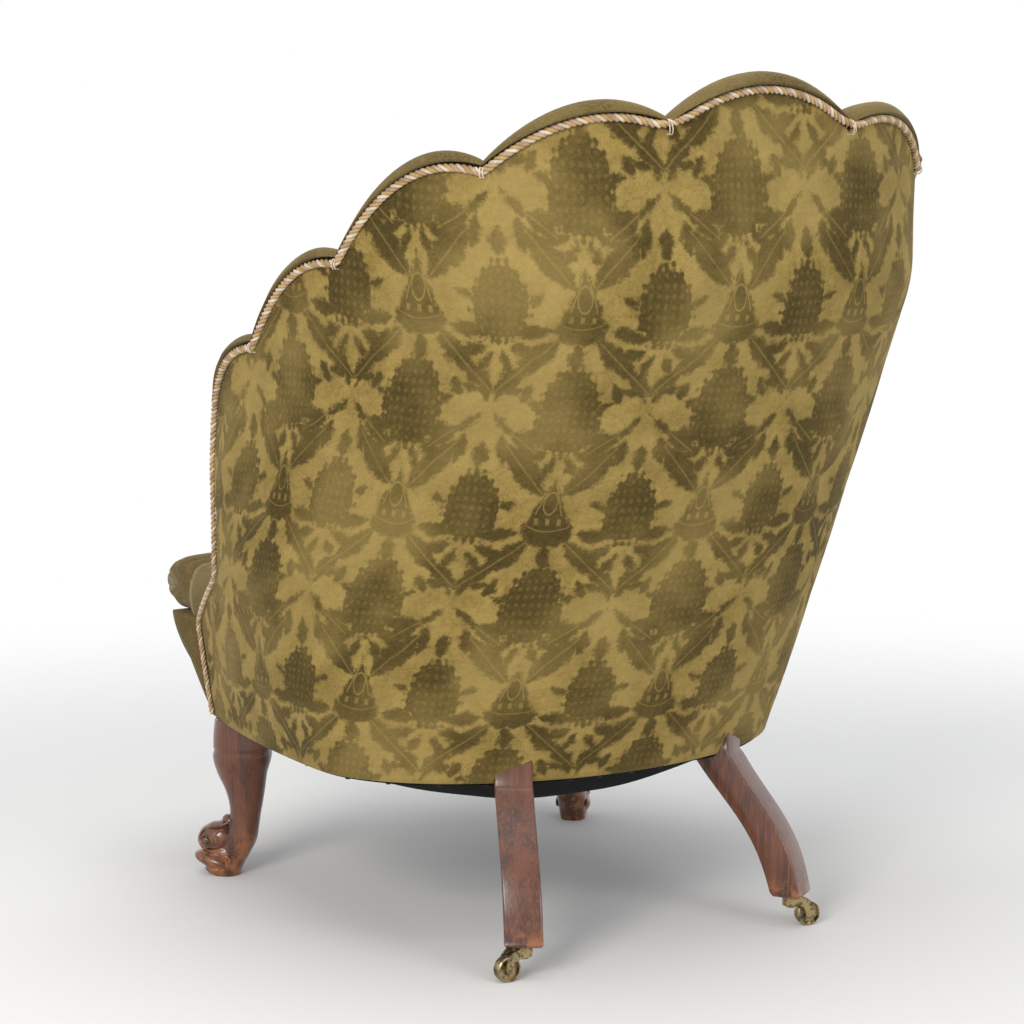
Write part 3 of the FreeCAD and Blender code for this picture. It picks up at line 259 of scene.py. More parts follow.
# The repeat folds to one quarter: distance from the crown's column, and height from each figure's middle.
def patternOf(paint):
    flat = paint.node("ShaderNodeUVMap", {"uv_map": "cloth"}, {})
    u, v, _ = paint.parts(flat)
    warp = paint.noise(flat, 16.0, 1.0)
    wobble = (warp - 0.5) * 9.0
    y = v * 1000.0 - damask["originY"] + wobble
    x = u * 1000.0 - damask["originX"] - y * damask["lean"] + wobble
    half = damask["column"] / 2
    row = damask["row"]
    toCrown = x.math("PINGPONG", x, half)
    toKnot = half - toCrown
    low = y.math("WRAP", y, row / 2, -row / 2)
    shifted = y + row / 2
    high = y.math("WRAP", shifted, row / 2, -row / 2)
    fine = paint.noise(flat, 420.0, 2.0, 0.7)
    frayed = paint.noise(flat, 105.0, 2.0, 0.6)
    scales = scaleField(toCrown, low)
    otherScales = scaleField(toKnot, high)
    fruit = fruitField(toCrown, low, 35.0, 51.0) + scales * 3.5
    otherFruit = fruitField(toKnot, high, 30.0, 43.0) + otherScales * 3.5
    crown = crownField(toCrown, high)
    leavesA, _ = fieldOf(toCrown, low, fruitLeaves)
    leavesB, _ = fieldOf(toKnot, high, fruitLeaves)
    crownSprays, veinsA = fieldOf(toCrown, high, crownLeaves)
    knotSprays, veinsB = fieldOf(toKnot, low, knotLeaves)
    whole = fruit.most(otherFruit).most(crown).most(leavesA).most(leavesB)
    whole = whole.most(crownSprays).most(knotSprays)
    edge = (whole + (fine - 0.5) * 8.0 + (frayed - 0.5) * 15.0).step(-2.5, 3.5)
    specks = scales.step(0.1, 0.8) * (fruit - 5.0).step(0.0, 6.0)
    specks = specks.most(otherScales.step(0.1, 0.8) * (otherFruit - 5.0).step(0.0, 6.0))
    veins = veinsA.most(veinsB).step(0.0, 1.2)
    lines = crownLines(toCrown, high) * (crown - 0.5).step(0.0, 1.5)
    return flat, edge, (specks * 0.34).most(veins * 0.6).most(lines), fine


def cutVelvet():
    paint = Paint("cut_velvet", roughness=0.92, sheen=0.10, sheenRoughness=0.4,
                  sheenTint=(0.95, 0.80, 0.50), specular=0.12)
    flat, dark, light, fine = patternOf(paint)
    wear = paint.noise(flat, 5.2, 3.0, 0.6).step(0.38, 0.62)
    grain = paint.noise(flat, 170.0, 3.0, 0.65)
    tuft = (grain + fine) * 0.5
    brushed = paint.noise(flat, 24.0, 3.0, 0.6).step(0.32, 0.68)
    ground = paint.mix((tuft.step(0.34, 0.62) + brushed) * 0.5, damask["shade"], damask["ground"])
    ground = paint.mix(wear * 0.5, ground, damask["worn"])
    pile = paint.mix((tuft.step(0.40, 0.64) + brushed) * 0.5, damask["pile"], damask["nap"])
    share = dark * (1.0 - wear * 0.5) * (1.0 - light * 0.6) * (0.80 + brushed * 0.20)
    colour = paint.mix(share, ground, pile)
    paint.give("colour", colour)
    paint.give("normal", paint.bump(tuft + share * 0.25, 0.0022, 0.7))
    return paint.material


def plainVelvet():
    paint = Paint("plain_velvet", roughness=0.92, sheen=0.28, sheenRoughness=0.4,
                  sheenTint=(0.9, 0.78, 0.55), specular=0.12)
    place = paint.place()
    cloud = paint.noise(place, 14.0, 3.0, 0.6).step(0.35, 0.68)
    grain = paint.noise(place, 380.0, 2.0, 0.7)
    colour = paint.mix(cloud, (0.088, 0.060, 0.020), (0.150, 0.106, 0.036))
    colour = paint.mix(grain.step(0.35, 0.7) * 0.5, colour, (0.215, 0.155, 0.058))
    paint.give("colour", colour)
    paint.give("normal", paint.bump(grain, 0.0012, 0.6))
    return paint.material


# Wood from its dark, middle and light colours; wornFrom is the height in m below which it is rubbed.
def wood(name, colours, gloss, wornFrom=None):
    dark, middle, light = colours
    paint = Paint(name, roughness=0.42 - 0.14 * gloss, coat=0.5 * gloss, coatRoughness=0.16, specular=0.5)
    figure = paint.noise(paint.scaled(60.0, 60.0, 7.0), 1.0, 4.0, 0.6)
    streak = paint.noise(paint.scaled(420.0, 420.0, 16.0), 1.0, 2.0, 0.6)
    colour = paint.mix(figure.step(0.30, 0.70), dark, middle)
    colour = paint.mix(streak.step(0.45, 0.75) * 0.55, colour, light)
    if wornFrom:
        _, _, z = paint.parts(paint.place())
        low = 1.0 - z.step(wornFrom * 0.5, wornFrom)
        rubbed = paint.noise(paint.place(), 55.0, 3.0, 0.7).step(0.45, 0.62)
        colour = paint.mix(low * rubbed * 0.75, colour, (0.34, 0.125, 0.035))
    paint.give("colour", colour)
    paint.give("normal", paint.bump(streak, 0.0002, 0.35))
    return paint.material


def brass():
    paint = Paint("aged_brass", metallic=0.9, specular=0.5)
    stain = paint.noise(paint.place(), 150.0, 4.0, 0.65).step(0.42, 0.62)
    paint.give("colour", paint.mix(stain, (0.42, 0.32, 0.16), (0.085, 0.070, 0.050)))
    paint.give("roughness", 0.30 + stain * 0.3)
    return paint.material


def woven(name, dark, light, pitch, depth):
    paint = Paint(name, roughness=0.95, specular=0.1)
    x, y, z = paint.parts(paint.place())
    turn = 2 * math.pi / (pitch * mm)
    across = (x + z) * turn
    along = (y + z) * turn
    weave = across.sine() * along.sine()
    paint.give("colour", paint.mix(weave.step(-0.6, 0.6), dark, light))
    paint.give("normal", paint.bump(weave, depth * mm, 0.5))
    return paint.material


def strandPaint(name, first, second):
    paint = Paint(name, roughness=0.75, sheen=0.3, sheenTint=(1.0, 0.9, 0.8), specular=0.2)
    hair = paint.noise(paint.scaled(900.0, 900.0, 900.0), 1.0, 2.0, 0.7)
    patch = paint.noise(paint.place(), 60.0, 2.0)
    paint.give("colour", paint.mix((hair + patch - 0.5).step(0.25, 0.75), first, second))
    paint.give("normal", paint.bump(hair, 0.0005, 0.6))
    return paint.material


mahogany = ((0.040, 0.0105, 0.0042), (0.135, 0.036, 0.0115), (0.235, 0.072, 0.022))
beech = ((0.34, 0.20, 0.10), (0.46, 0.29, 0.15), (0.52, 0.35, 0.20))
finishes = {
    "cut_velvet": cutVelvet(),
    "plain_velvet": plainVelvet(),
    "twisted_cord": strandPaint("twisted_cord", (0.36, 0.215, 0.125), (0.60, 0.43, 0.29)),
    "mahogany": wood("mahogany", mahogany, gloss=1.0, wornFrom=0.07),
    "beech": wood("beech", beech, gloss=0.1),
    "jute": woven("jute", (0.20, 0.135, 0.070), (0.38, 0.28, 0.16), 3.0, 0.5),
    "black_cambric": woven("black_cambric", (0.010, 0.010, 0.011), (0.020, 0.020, 0.022), 1.6, 0.2),
    "horsehair": Paint("horsehair", colour=(0.045, 0.030, 0.022), roughness=0.9).material,
    "steel": Paint("steel", colour=(0.42, 0.42, 0.43), roughness=0.38, metallic=1.0).material,
    "blued_steel": Paint("blued_steel", colour=(0.045, 0.050, 0.062), roughness=0.35, metallic=0.9).material,
    "aged_brass": brass(),
}
paleStrand = strandPaint("pale_strand", (0.55, 0.43, 0.29), (0.80, 0.70, 0.55))
goldStrand = strandPaint("gold_strand", (0.38, 0.235, 0.085), (0.62, 0.42, 0.17))
for item in nodes.values():
    for place, old in enumerate(item.data.materials):
        finish = finishes.get(old.name.split(".")[0]) if old else None
        if finish and old is not finish:
            item.data.materials[place] = finish
print("materials", len(finishes))


# Meshes from whole arrays.
def gridFaces(rows, columns, ring=False):
    row = np.arange(rows - 1)[:, None] * columns
    if ring:
        column = np.arange(columns)[None, :]
        after = (column + 1) % columns
    else:
        column = np.arange(columns - 1)[None, :]
        after = column + 1
    faces = [row + column, row + after, row + columns + after, row + columns + column]
    return np.stack(faces, axis=-1).reshape(-1, 4)


def makeMesh(name, points, faces, finish, closed=True):
    mesh = bpy.data.meshes.new(name)
    mesh.from_pydata((np.asarray(points) * mm).tolist(), [], [list(map(int, face)) for face in faces])
    if closed:
        work = bmesh.new()
        work.from_mesh(mesh)
        bmesh.ops.recalc_face_normals(work, faces=work.faces)
        work.to_mesh(mesh)
        work.free()
    mesh.polygons.foreach_set("use_smooth", np.ones(len(mesh.polygons), bool))
    mesh.materials.append(finish)
    mesh.update()
    item = bpy.data.objects.new(name, mesh)
    bpy.context.scene.collection.objects.link(item)
    return item


# A closed body from rings of points, shape (rings, points, 3), with a fan at both ends.
def ringBody(rings):
    count, around, _ = rings.shape
    points = np.concatenate([rings.reshape(-1, 3), rings[:1].mean(1), rings[-1:].mean(1)])
    faces = list(gridFaces(count, around, ring=True))
    first = count * around
    last = (count - 1) * around
    for index in range(around):
        after = (index + 1) % around
        faces.append((first, after, index))
        faces.append((first + 1, last + index, last + after))
    return points, faces


def joined(bodies):
    points = []
    faces = []
    start = 0
    for these, those in bodies:
        points.append(these)
        faces += [[index + start for index in face] for face in those]
        start += len(these)
    return np.concatenate(points), faces


def flipped(points):
    return points * np.array([-1.0, 1.0, 1.0])


def piece(item, slot, *replaced):
    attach(item, "root")
    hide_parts(*replaced)


# Area in square metres of a sheet of four-sided faces.
def areaOf(points, faces):
    sides = points[faces[:, 1]] - points[faces[:, 0]]
    ups = points[faces[:, 3]] - points[faces[:, 0]]
    return np.linalg.norm(np.cross(sides, ups), axis=-1).sum() * mm * mm


def lerp(a, b, share):
    return a + (b - a) * share


# Points of a curve that leaves start, passes via at half way and reaches end, as a parabola.
def curve(start, via, end, count):
    start, via, end = (np.asarray(item, float) for item in (start, via, end))
    handle = 2 * via - (start + end) / 2
    t = np.arange(count) / count
    t = t.reshape((count,) + (1,) * start.ndim)
    return (1 - t) ** 2 * start + 2 * t * (1 - t) * handle + t ** 2 * end


# The tub. Stations are counted by u: 0 is straight behind, scallop k lies between k - 0.5 and k + 0.5,
# the arm's front edge is 4.5 and the front corner of the seat 5.5; the right half is negative.
tub = {
    "centre": 10,
    "rail": (300, 200, 688, 2.0),
    "top": (389, 420.5, 322, 2.4),
    "foot": 196,
    "knee": 740,
    "kneeDrop": 92,
    "kneeBand": 30,
    "dipAzimuths": (0, 15.8, 41.0, 63.9, 84.8, 108.6),
    "dipHeights": (907, 907, 864, 770, 676, 600),
    "rises": (40.5, 29.5, 38, 29, 18),
    "armFoot": 127.6,
    "corner": 139.2,
    "wingHeights": (393, 321),
    "wingFlare": 0.19,
    "wingRake": 0.12,
    "bellies": (8, 2),
}
dipPlaces = (0, 0.5, 1.5, 2.5, 3.5, 4.5)
armFront = 4.5
corner = 5.5
stuffingBack = 31.6


def heading(azimuth):
    turn = np.radians(azimuth)
    return np.stack([np.sin(turn), np.cos(turn)], axis=-1)


# reach = ((|sin| / side)^n + (cos / rear)^n)^(-1/n) behind the middle, and an ellipse ahead of it.
def planPoint(azimuth, shape):
    side, rear, front, squareness = shape
    across = np.abs(np.sin(np.radians(azimuth))) / side
    along = np.cos(np.radians(azimuth))
    behind = (across ** squareness + (np.maximum(along, 0) / rear) ** squareness) ** (-1 / squareness)
    ahead = (across ** 2 + (along / front) ** 2) ** -0.5
    return heading(azimuth) * np.where(along >= 0, behind, ahead)[..., None] - np.array([0, tub["centre"]])


class Stations:
    def __init__(self, u):
        u = np.asarray(u, float)
        self.side = np.where(u < 0, -1.0, 1.0)
        along = np.minimum(np.abs(u), armFront)
        wing = np.maximum(np.abs(u) - armFront, 0)
        lobe = np.minimum(np.floor(along + 0.5), 4).astype(int)
        share = along + 0.5 - lobe
        azimuth = np.interp(along, dipPlaces, tub["dipAzimuths"])
        chord = np.interp(along, dipPlaces, tub["dipHeights"])
        self.knee = np.minimum(tub["knee"], chord - tub["kneeDrop"])
        frontFoot = lerp(tub["dipAzimuths"][-2], tub["armFoot"], share)
        footAzimuth = np.where(lobe == 4, frontFoot, azimuth)
        straight = heading(azimuth)
        span = (self.knee - tub["foot"])[..., None]
        rate = (planPoint(azimuth, tub["top"]) - planPoint(footAzimuth, tub["rail"])) / span
        slope = (rate * straight).sum(-1)
        lean = rate - straight * slope[..., None]
        blend = wing[..., None]
        outward = straight * (1 - blend) + np.array([1.0, 0.0]) * blend
        self.outward = outward / np.linalg.norm(outward, axis=-1)[..., None]
        self.slope = lerp(slope, tub["wingFlare"], wing)
        self.lean = lean * (1 - blend) + np.array([0, tub["wingRake"]]) * blend
        self.foot = planPoint(footAzimuth + wing * (tub["corner"] - tub["armFoot"]), tub["rail"])
        self.belly = lerp(tub["bellies"][0], tub["bellies"][1], wing)
        scallop = chord + np.array(tub["rises"])[lobe] * 4 * share * (1 - share)
        self.edge = np.where(wing > 0, lerp(tub["wingHeights"][0], tub["wingHeights"][1], wing), scallop)

    # A raked wall with a slight belly, turned upright by a parabola at the knee.
    def wall(self, z):
        band = tub["kneeBand"]
        flare = self.slope * (self.knee - tub["foot"])
        up = z - tub["foot"]
        share = np.clip(up / (self.knee - band - tub["foot"]), 0, 1)
        raked = self.slope * up + self.belly * 4 * share * (1 - share)
        turning = flare - self.slope * (self.knee + band - z) ** 2 / (4 * band)
        return np.where(z >= self.knee + band, flare, np.where(z >= self.knee - band, turning, raked))

    def at(self, depth, z):
        spread = self.outward * (self.wall(z) - depth)[..., None]
        plan = self.foot + spread + self.lean * (z - tub["foot"])[..., None]
        return np.stack([plan[..., 0] * self.side, plan[..., 1], z + 0 * plan[..., 0]], axis=-1)


# Outside cover: one sheet of patterned velvet, turned in over the cord line and under the seat frame.
cover = {
    "columnsPerScallop": 30,
    "lowerRows": 40,
    "upperRows": 84,
    "seamHeight": 393,
    "thickness": 2.6,
    "ripple": 0.8,
    "hem": [(15.0, -0.9), (5.0, -0.9), (1.5, 0.0)],
    "turnIn": [(2.5, 0.5), (9.0, 1.5)],
    "gather": 0.7,
    "flat": (2.10, 0.80),
}


# Slow waves of the cloth, as a sum of two products of sines of u and z.
def rippleOf(u, z):
    slow = np.sin(u * 5.3 + 1.3) * np.sin(z / 83 + 0.7 * u) + 0.6 * np.sin(u * 11.9 + z / 47)
    return cover["ripple"] * slow


def outsideCover():
    columns = cover["columnsPerScallop"]
    u = np.linspace(-corner, corner, columns * 11 + 1)
    station = Stations(u)
    top = np.where(np.abs(u) > armFront, station.edge - 1, cover["seamHeight"])
    share = np.linspace(0, 1, cover["lowerRows"] + 1)[:, None]
    lowerZ = lerp(tub["foot"] + 1.5, top[None, :], share)
    depths = [np.full_like(u, depth)[None] for depth, _ in cover["hem"]] + [np.zeros_like(lowerZ)]
    heights = [np.full_like(u, tub["foot"] + rise)[None] for _, rise in cover["hem"]] + [lowerZ]
    depth = np.concatenate(depths)
    z = np.concatenate(heights)
    uu = np.broadcast_to(u, z.shape)
    soft = np.clip((z - tub["foot"]) / 40, 0, 1)
    lower = Stations(uu).at(depth - rippleOf(uu, z) * soft, z)
    inner = np.abs(u) <= armFront + 1e-6
    v = u[inner]
    edge = Stations(v).edge
    share = np.linspace(0, 1, cover["upperRows"] + 1)[1:, None]
    turned = [edge[None] + rise for _, rise in cover["turnIn"]]
    upperZ = np.concatenate([lerp(cover["seamHeight"], edge[None] - 2.0, share)] + turned)
    turned = [np.full((1, len(v)), depth) for depth, _ in cover["turnIn"]]
    upperDepth = np.concatenate([np.zeros((cover["upperRows"], len(v)))] + turned)
    vv = np.broadcast_to(v, upperZ.shape)
    fade = np.clip((edge - upperZ) / 60, 0.15, 1)
    nearEdge = np.exp(-(edge - upperZ) / 22) * (upperDepth < 1)
    gather = cover["gather"] * np.sin(vv * 2 * np.pi * 9) * nearEdge
    upper = Stations(vv).at(upperDepth - rippleOf(vv, upperZ) * fade - gather, upperZ)
    rows, width = z.shape
    lowerCount = rows * width
    index = np.arange(lowerCount).reshape(rows, width)
    upperIndex = lowerCount + np.arange(upperZ.size).reshape(upperZ.shape)
    wholeUpper = np.concatenate([index[-1:, inner], upperIndex])
    faces = []
    for block in (index, wholeUpper):
        quads = [block[:-1, :-1], block[:-1, 1:], block[1:, 1:], block[1:, :-1]]
        faces.append(np.stack(quads, -1).reshape(-1, 4))
    faces = np.concatenate(faces)[:, ::-1]
    points = np.concatenate([lower.reshape(-1, 3), upper.reshape(-1, 3)])

    # Cloth coordinates: x is the length of the level line from the middle of the back, y the slant height.
    def clothOf(places, grid, lowZ):
        middle = grid.shape[1] // 2
        steps = np.linalg.norm(np.diff(grid[..., :2], axis=1), axis=-1)
        run = np.concatenate([np.zeros((len(grid), 1)), np.cumsum(steps, axis=1)], axis=1)
        across = run - run[:, middle:middle + 1]
        feet = Stations(places).at(0 * lowZ, 0 * lowZ + tub["foot"])
        slant = np.linalg.norm(Stations(places).at(0 * lowZ, lowZ) - feet, axis=-1)
        return np.stack([across, slant], -1)

    pair = (clothOf(uu, lower, z), clothOf(vv, upper, upperZ))
    cloth = np.concatenate([part.reshape(-1, 2) for part in pair])
    item = makeMesh("velvet_outside_cover", points, faces, finishes["cut_velvet"], closed=False)
    layer = item.data.uv_layers.new(name="cloth")
    corners = np.zeros(len(item.data.loops), int)
    item.data.loops.foreach_get("vertex_index", corners)
    layer.data.foreach_set("uv", (cloth[corners] * mm).astype(np.float32).ravel())
    thick = item.modifiers.new("cloth", "SOLIDIFY")
    thick.thickness = cover["thickness"] * mm
    thick.offset = -1
    return item, areaOf(points, faces)


coverSheet, coverArea = outsideCover()
piece(coverSheet, "cut_velvet", "outside_cover")
print("outside cover", len(coverSheet.data.polygons), round(coverArea, 3))


# Stuffed channels: each runs from behind the seat up the inside of the back and rolls over the frame.
channels = {
    "foot": 330,
    "footDepth": 28,
    "seamDepth": 20,
    "crownDepth": 56,
    "shoulder": 40,
    "headRise": (11.5, 18.5),
    "headReach": (4.5, 9.5),
    "headTop": 8,
    "shares": 34,
    "groove": (7.6, 2.4),
    "fold": 1.5,
}


# The point half way along a quarter bend that leaves the top level and arrives at the lower point.
def levelVia(top, low):
    across = low[0] - top[0]
    down = top[1] - low[1]
    bulge = np.tan(np.arctan2(down, np.abs(across)) / 2) / 2
    middle = (top[0] + low[0]) / 2, (top[1] + low[1]) / 2
    return middle[0] + np.sign(across) * down * bulge, middle[1] + np.abs(across) * bulge


# Each ring is the channel's outline in depth and height at one station: lip, head, shoulder, face, foot
# and back. The head and the thickness swell from the seams to the middle as a power of a half sine.
def channelRings(lobe):
    share = 0.5 - 0.5 * np.cos(np.linspace(0, np.pi, channels["shares"]))
    u = lobe - 0.5 + share
    station = Stations(u)
    crown = np.sin(np.pi * share) ** 0.62
    if lobe == 4:
        crown = np.maximum(crown, 0.45 * share)
    thickness = lerp(channels["seamDepth"], channels["crownDepth"], crown)
    rise = lerp(channels["headRise"][0], channels["headRise"][1], crown)
    out = lerp(channels["headReach"][0], channels["headReach"][1], crown)
    edge = station.edge
    foot = channels["foot"]
    below = station.knee - tub["kneeBand"]
    above = station.knee + tub["kneeBand"]

    def face(z):
        grown = np.minimum(1, (z - foot) / (station.knee - foot))
        return stuffingBack + lerp(channels["footDepth"], thickness, grown)

    flat = np.zeros_like(share)
    groove = channels["groove"][0] + channels["groove"][1] * (2 * share - 1) ** 2
    start = np.array([flat + 3.5, edge + groove - 2])
    startLow = np.array([flat + 3.5, edge + groove - 3.5])
    lip = np.array([-out, edge + groove - 2.5])
    top = np.array([flat + channels["headTop"], edge + rise])
    shoulder = np.array([stuffingBack + thickness, edge - channels["shoulder"]])
    seatEnd = np.array([face(flat + foot), flat + foot])
    upper = np.array([face(above), above])
    lower = np.array([face(below), below])
    middle = (foot + below) / 2
    backFoot = np.array([flat + stuffingBack, flat + foot])
    backTop = np.array([flat + stuffingBack, edge - 14])
    backEnd = np.array([flat + 4, edge - 12])
    parts = [
        curve(start, (lip + startLow) / 2, lip, 3),
        curve(lip, np.array(levelVia(top, lip)), top, 10),
        curve(top, np.array(levelVia(top, shoulder)), shoulder, 16),
        curve(shoulder, (shoulder + upper) / 2, upper, 8),
        curve(upper, np.array([face(station.knee), station.knee]), lower, 6),
        curve(lower, np.array([face(middle), middle]), seatEnd, 30),
        curve(seatEnd, (seatEnd + backFoot) / 2, backFoot, 3),
        curve(backFoot, (backFoot + backTop) / 2, backTop, 12),
        curve(backTop, (backTop + backEnd) / 2, backEnd, 3),
    ]
    frontEnds = len(parts[0]) + 3, sum(len(part) for part in parts[:6])
    loop = np.concatenate(parts)
    depth = loop[:, 0].T.copy()
    z = loop[:, 1].T.copy()
    lead = np.cumsum(np.abs(np.diff(depth, axis=1, prepend=depth[:, :1]))
                     + np.abs(np.diff(z, axis=1, prepend=z[:, :1])), axis=1)
    near = np.exp(-((share * (1 - share)) / 0.06) ** 1.2)[:, None]
    order = np.arange(z.shape[1])
    front = (order < frontEnds[1]) & (order >= frontEnds[0])
    fold = channels["fold"] * near * np.sin(lead / 6.5 + 1.7 * lobe) * front
    tuckIn = 0.8 * np.sin(lead / 37 + 11 * share[:, None] + lobe) * crown[:, None] * front
    uu = np.broadcast_to(u[:, None], z.shape)
    return Stations(uu).at(depth + fold + tuckIn, z)


def channelItem(name, node, lobe, mirror):
    points, faces = ringBody(channelRings(lobe))
    if mirror:
        points = flipped(points)
    item = makeMesh(name, points, faces, finishes["plain_velvet"])
    piece(item, "plain_velvet", node)


channelItem("channel_middle", "back_channel_middle", 0, False)
for lobe in range(1, 5):
    for side, mirror in (("left", False), ("right", True)):
        channelItem(f"channel_{lobe}_{side}", f"back_channel_{lobe}_{side}", lobe, mirror)
print("channels done")


# Padded fronts of the arms.
facing = {"low": 388, "high": 588, "bulge": 15, "rows": 40}
armPlace = Stations(np.array([armFront]))
armAhead = np.array([armPlace.outward[0, 1], -armPlace.outward[0, 0], 0.0])


# Level rings up the arm's front edge, domed forwards by a power of a half sine.
def facingRings():
    rings = []
    rows = facing["rows"]
    for row in range(rows + 1):
        share = row / rows
        z = np.array([lerp(facing["low"], facing["high"], share)])
        outer = armPlace.at(np.array([3.0]), z)[0] + armAhead * 0.7
        inner = armPlace.at(np.array([stuffingBack + channels["footDepth"] + 2]), z)[0] + armAhead * 0.7
        swell = facing["bulge"] * min(1, 6 * share, 6 * (1 - share)) ** 0.5
        swell += 0.6 * math.sin(share * 60)
        across = inner - outer
        t = np.linspace(0, 1, 15)
        dome = np.sin(np.pi * t) ** 0.7
        front = outer + across * t[:, None] + armAhead * (dome * swell)[:, None]
        back = np.stack([inner - armAhead * 2, outer - armAhead * 2])
        rings.append(np.concatenate([front, back]))
    return np.array(rings)


for side, mirror in (("left", False), ("right", True)):
    points, faces = ringBody(facingRings())
    points = flipped(points) if mirror else points
    item = makeMesh(f"arm_front_pad_{side}", points, faces, finishes["plain_velvet"])
    piece(item, "plain_velvet", f"arm_facing_{side}")


# Twisted edging cord: three strands laid round a path that follows the scallops, arm fronts and seat sides.
cord = {
    "strand": 2.25,
    "lay": 2.15,
    "slimRun": 520,
    "slimmest": 0.72,
    "pitch": 19.0,
    "proud": 2.6,
    "ahead": 3.4,
    "step": 1.7,
    "around": 8,
}


def cordRoute():
    half = []
    for lobe in range(1, 5):
        for share in np.arange(0.06, 1.001, 0.094):
            half.append((lobe - 0.5 + share, None, 0.0))
    half = [entry for entry in half if entry[0] < 4.44]
    arm = Stations(np.array([armFront]))
    edge = float(arm.edge[0])
    half.append((armFront, edge - 6.5, cord["ahead"]))
    for z in (570, 530, 490, 450, 420, 400):
        half.append((armFront, z, cord["ahead"]))
    for share in (0.12, 0.3, 0.5, 0.7, 0.9):
        half.append((armFront + share, lerp(393, 321, share) + 3, 0.0))
    for z in (318, 300, 270, 240, 215, 201):
        half.append((corner, z, cord["ahead"]))
    u = np.array([entry[0] for entry in half])
    station = Stations(u)
    heights = [math.nan if entry[1] is None else entry[1] for entry in half]
    z = np.where(np.isnan(heights), station.edge, heights)
    points = station.at(np.full_like(u, -cord["proud"]), z)
    forward = np.stack([station.outward[:, 1], -station.outward[:, 0], 0 * u], -1)
    points = points + forward * np.array([entry[2] for entry in half])[:, None]
    outward = np.concatenate([station.outward, 0 * u[:, None]], axis=1)
    u = np.linspace(-0.44, 0.44, 12)
    station = Stations(u)
    middle = station.at(np.full_like(u, -cord["proud"]), station.edge)
    middleOut = np.stack([station.outward[:, 0] * station.side, station.outward[:, 1], 0 * u], -1)
    route = np.concatenate([flipped(points)[::-1], middle, points])
    way = np.concatenate([flipped(outward)[::-1], middleOut, outward])
    return route, way


# Corner cutting: each round puts two points at a quarter and three quarters of every step.
def smoothed(points, rounds):
    for _ in range(rounds):
        near = points[:-1] * 0.75 + points[1:] * 0.25
        far = points[:-1] * 0.25 + points[1:] * 0.75
        inner = np.stack([near, far], 1).reshape(-1, points.shape[1])
        points = np.concatenate([points[:1], inner[1:-1], points[-1:]])
    return points


def resampled(points, extra, step):
    run = np.concatenate([[0], np.cumsum(np.linalg.norm(np.diff(points, axis=0), axis=1))])
    count = int(run[-1] / step)
    want = np.linspace(0, run[-1], count + 1)
    along = np.stack([np.interp(want, run, points[:, axis]) for axis in range(3)], -1)
    beside = np.stack([np.interp(want, run, extra[:, axis]) for axis in range(3)], -1)
    return along, beside, want


def unit(vectors):
    return vectors / np.linalg.norm(vectors, axis=-1)[..., None]


# A tube whose centre turns round the path once in each pitch.
def strandRings(path, beside, run, turn, radius, lay, pitch):
    tangent = unit(np.gradient(path, axis=0))
    normal = unit(beside - tangent * (beside * tangent).sum(-1)[:, None])
    binormal = np.cross(tangent, normal)
    angle = (run / pitch * 2 * np.pi + turn)[:, None]
    centre = path + (normal * np.cos(angle) + binormal * np.sin(angle)) * np.reshape(lay, (-1, 1))
    ring = np.linspace(0, 2 * np.pi, cord["around"], endpoint=False)
    spread = normal[:, None] * np.cos(ring)[None, :, None] + binormal[:, None] * np.sin(ring)[None, :, None]
    return centre[:, None] + spread * np.reshape(radius, (-1, 1, 1))


route, way = cordRoute()
both = smoothed(np.concatenate([route, way], axis=1), 3)
cordPath, cordBeside, cordRun = resampled(both[:, :3], both[:, 3:], cord["step"])
strandNames = ("cord_rose_strand", "cord_pale_strand", "cord_gold_strand")
for index, finish in enumerate((finishes["twisted_cord"], paleStrand, goldStrand)):
    fromEnd = np.minimum(cordRun, cordRun[-1] - cordRun)
    slim = np.clip(fromEnd / cord["slimRun"], cord["slimmest"], 1)
    rings = strandRings(cordPath, cordBeside, cordRun, index * 2 * np.pi / 3,
                        cord["strand"] * slim, cord["lay"] * slim, cord["pitch"])
    points, faces = ringBody(rings)
    strand = makeMesh(strandNames[index], points, faces, finish)
    piece(strand, "twisted_cord", "edge_cord")
print("edge cord", round(float(cordRun[-1])), "mm")


# A stitched loop of thread ties the cord down at each dip.
def dipStitches():
    bodies = []
    for u in (0.5, 1.5, 2.5, 3.5):
        station = Stations(np.array([u]))
        z = station.edge
        centre = station.at(np.array([-cord["proud"]]), z)[0]
        out = np.array([station.outward[0, 0], station.outward[0, 1], 0.0])
        up = np.array([0.0, 0.0, 1.0])
        for shift in (-1.6, 1.6):
            across = np.cross(up, out)
            turn = np.linspace(-0.4 * np.pi, 1.4 * np.pi, 15)[:, None]
            path = centre + across * shift + (out * np.cos(turn) * 5.4 + up * np.sin(turn) * 5.6)
            rings = strandRings(path, np.broadcast_to(across, path.shape), np.zeros(15), 0.0, 0.7, 0.0, 1.0)
            bodies.append(ringBody(rings))
            bodies.append(ringBody(flipped(rings)))
    return joined(bodies)


points, faces = dipStitches()
stitches = makeMesh("cord_dip_stitches", points, faces, paleStrand)
piece(stitches, "twisted_cord", "edge_cord")


# The seat: crowned cushion, pleated front roll that runs round to the arms, and the border under it.
seat = {
    "half": 258,
    "rear": 205,
    "front": 337,
    "base": 334,
    "side": 36,
    "crown": 31,
    "rollFront": 420,
    "rollTop": 390.5,
    "rollBottom": 321,
    "rollHalf": 286,
    "pleats": 9,
}


def seatHalf(y):
    behind = np.clip((y + tub["centre"]) / seat["rear"], 0, 1)
    return np.maximum(seat["half"] * np.sqrt(np.maximum(1 - behind ** 2, 0)), 12)


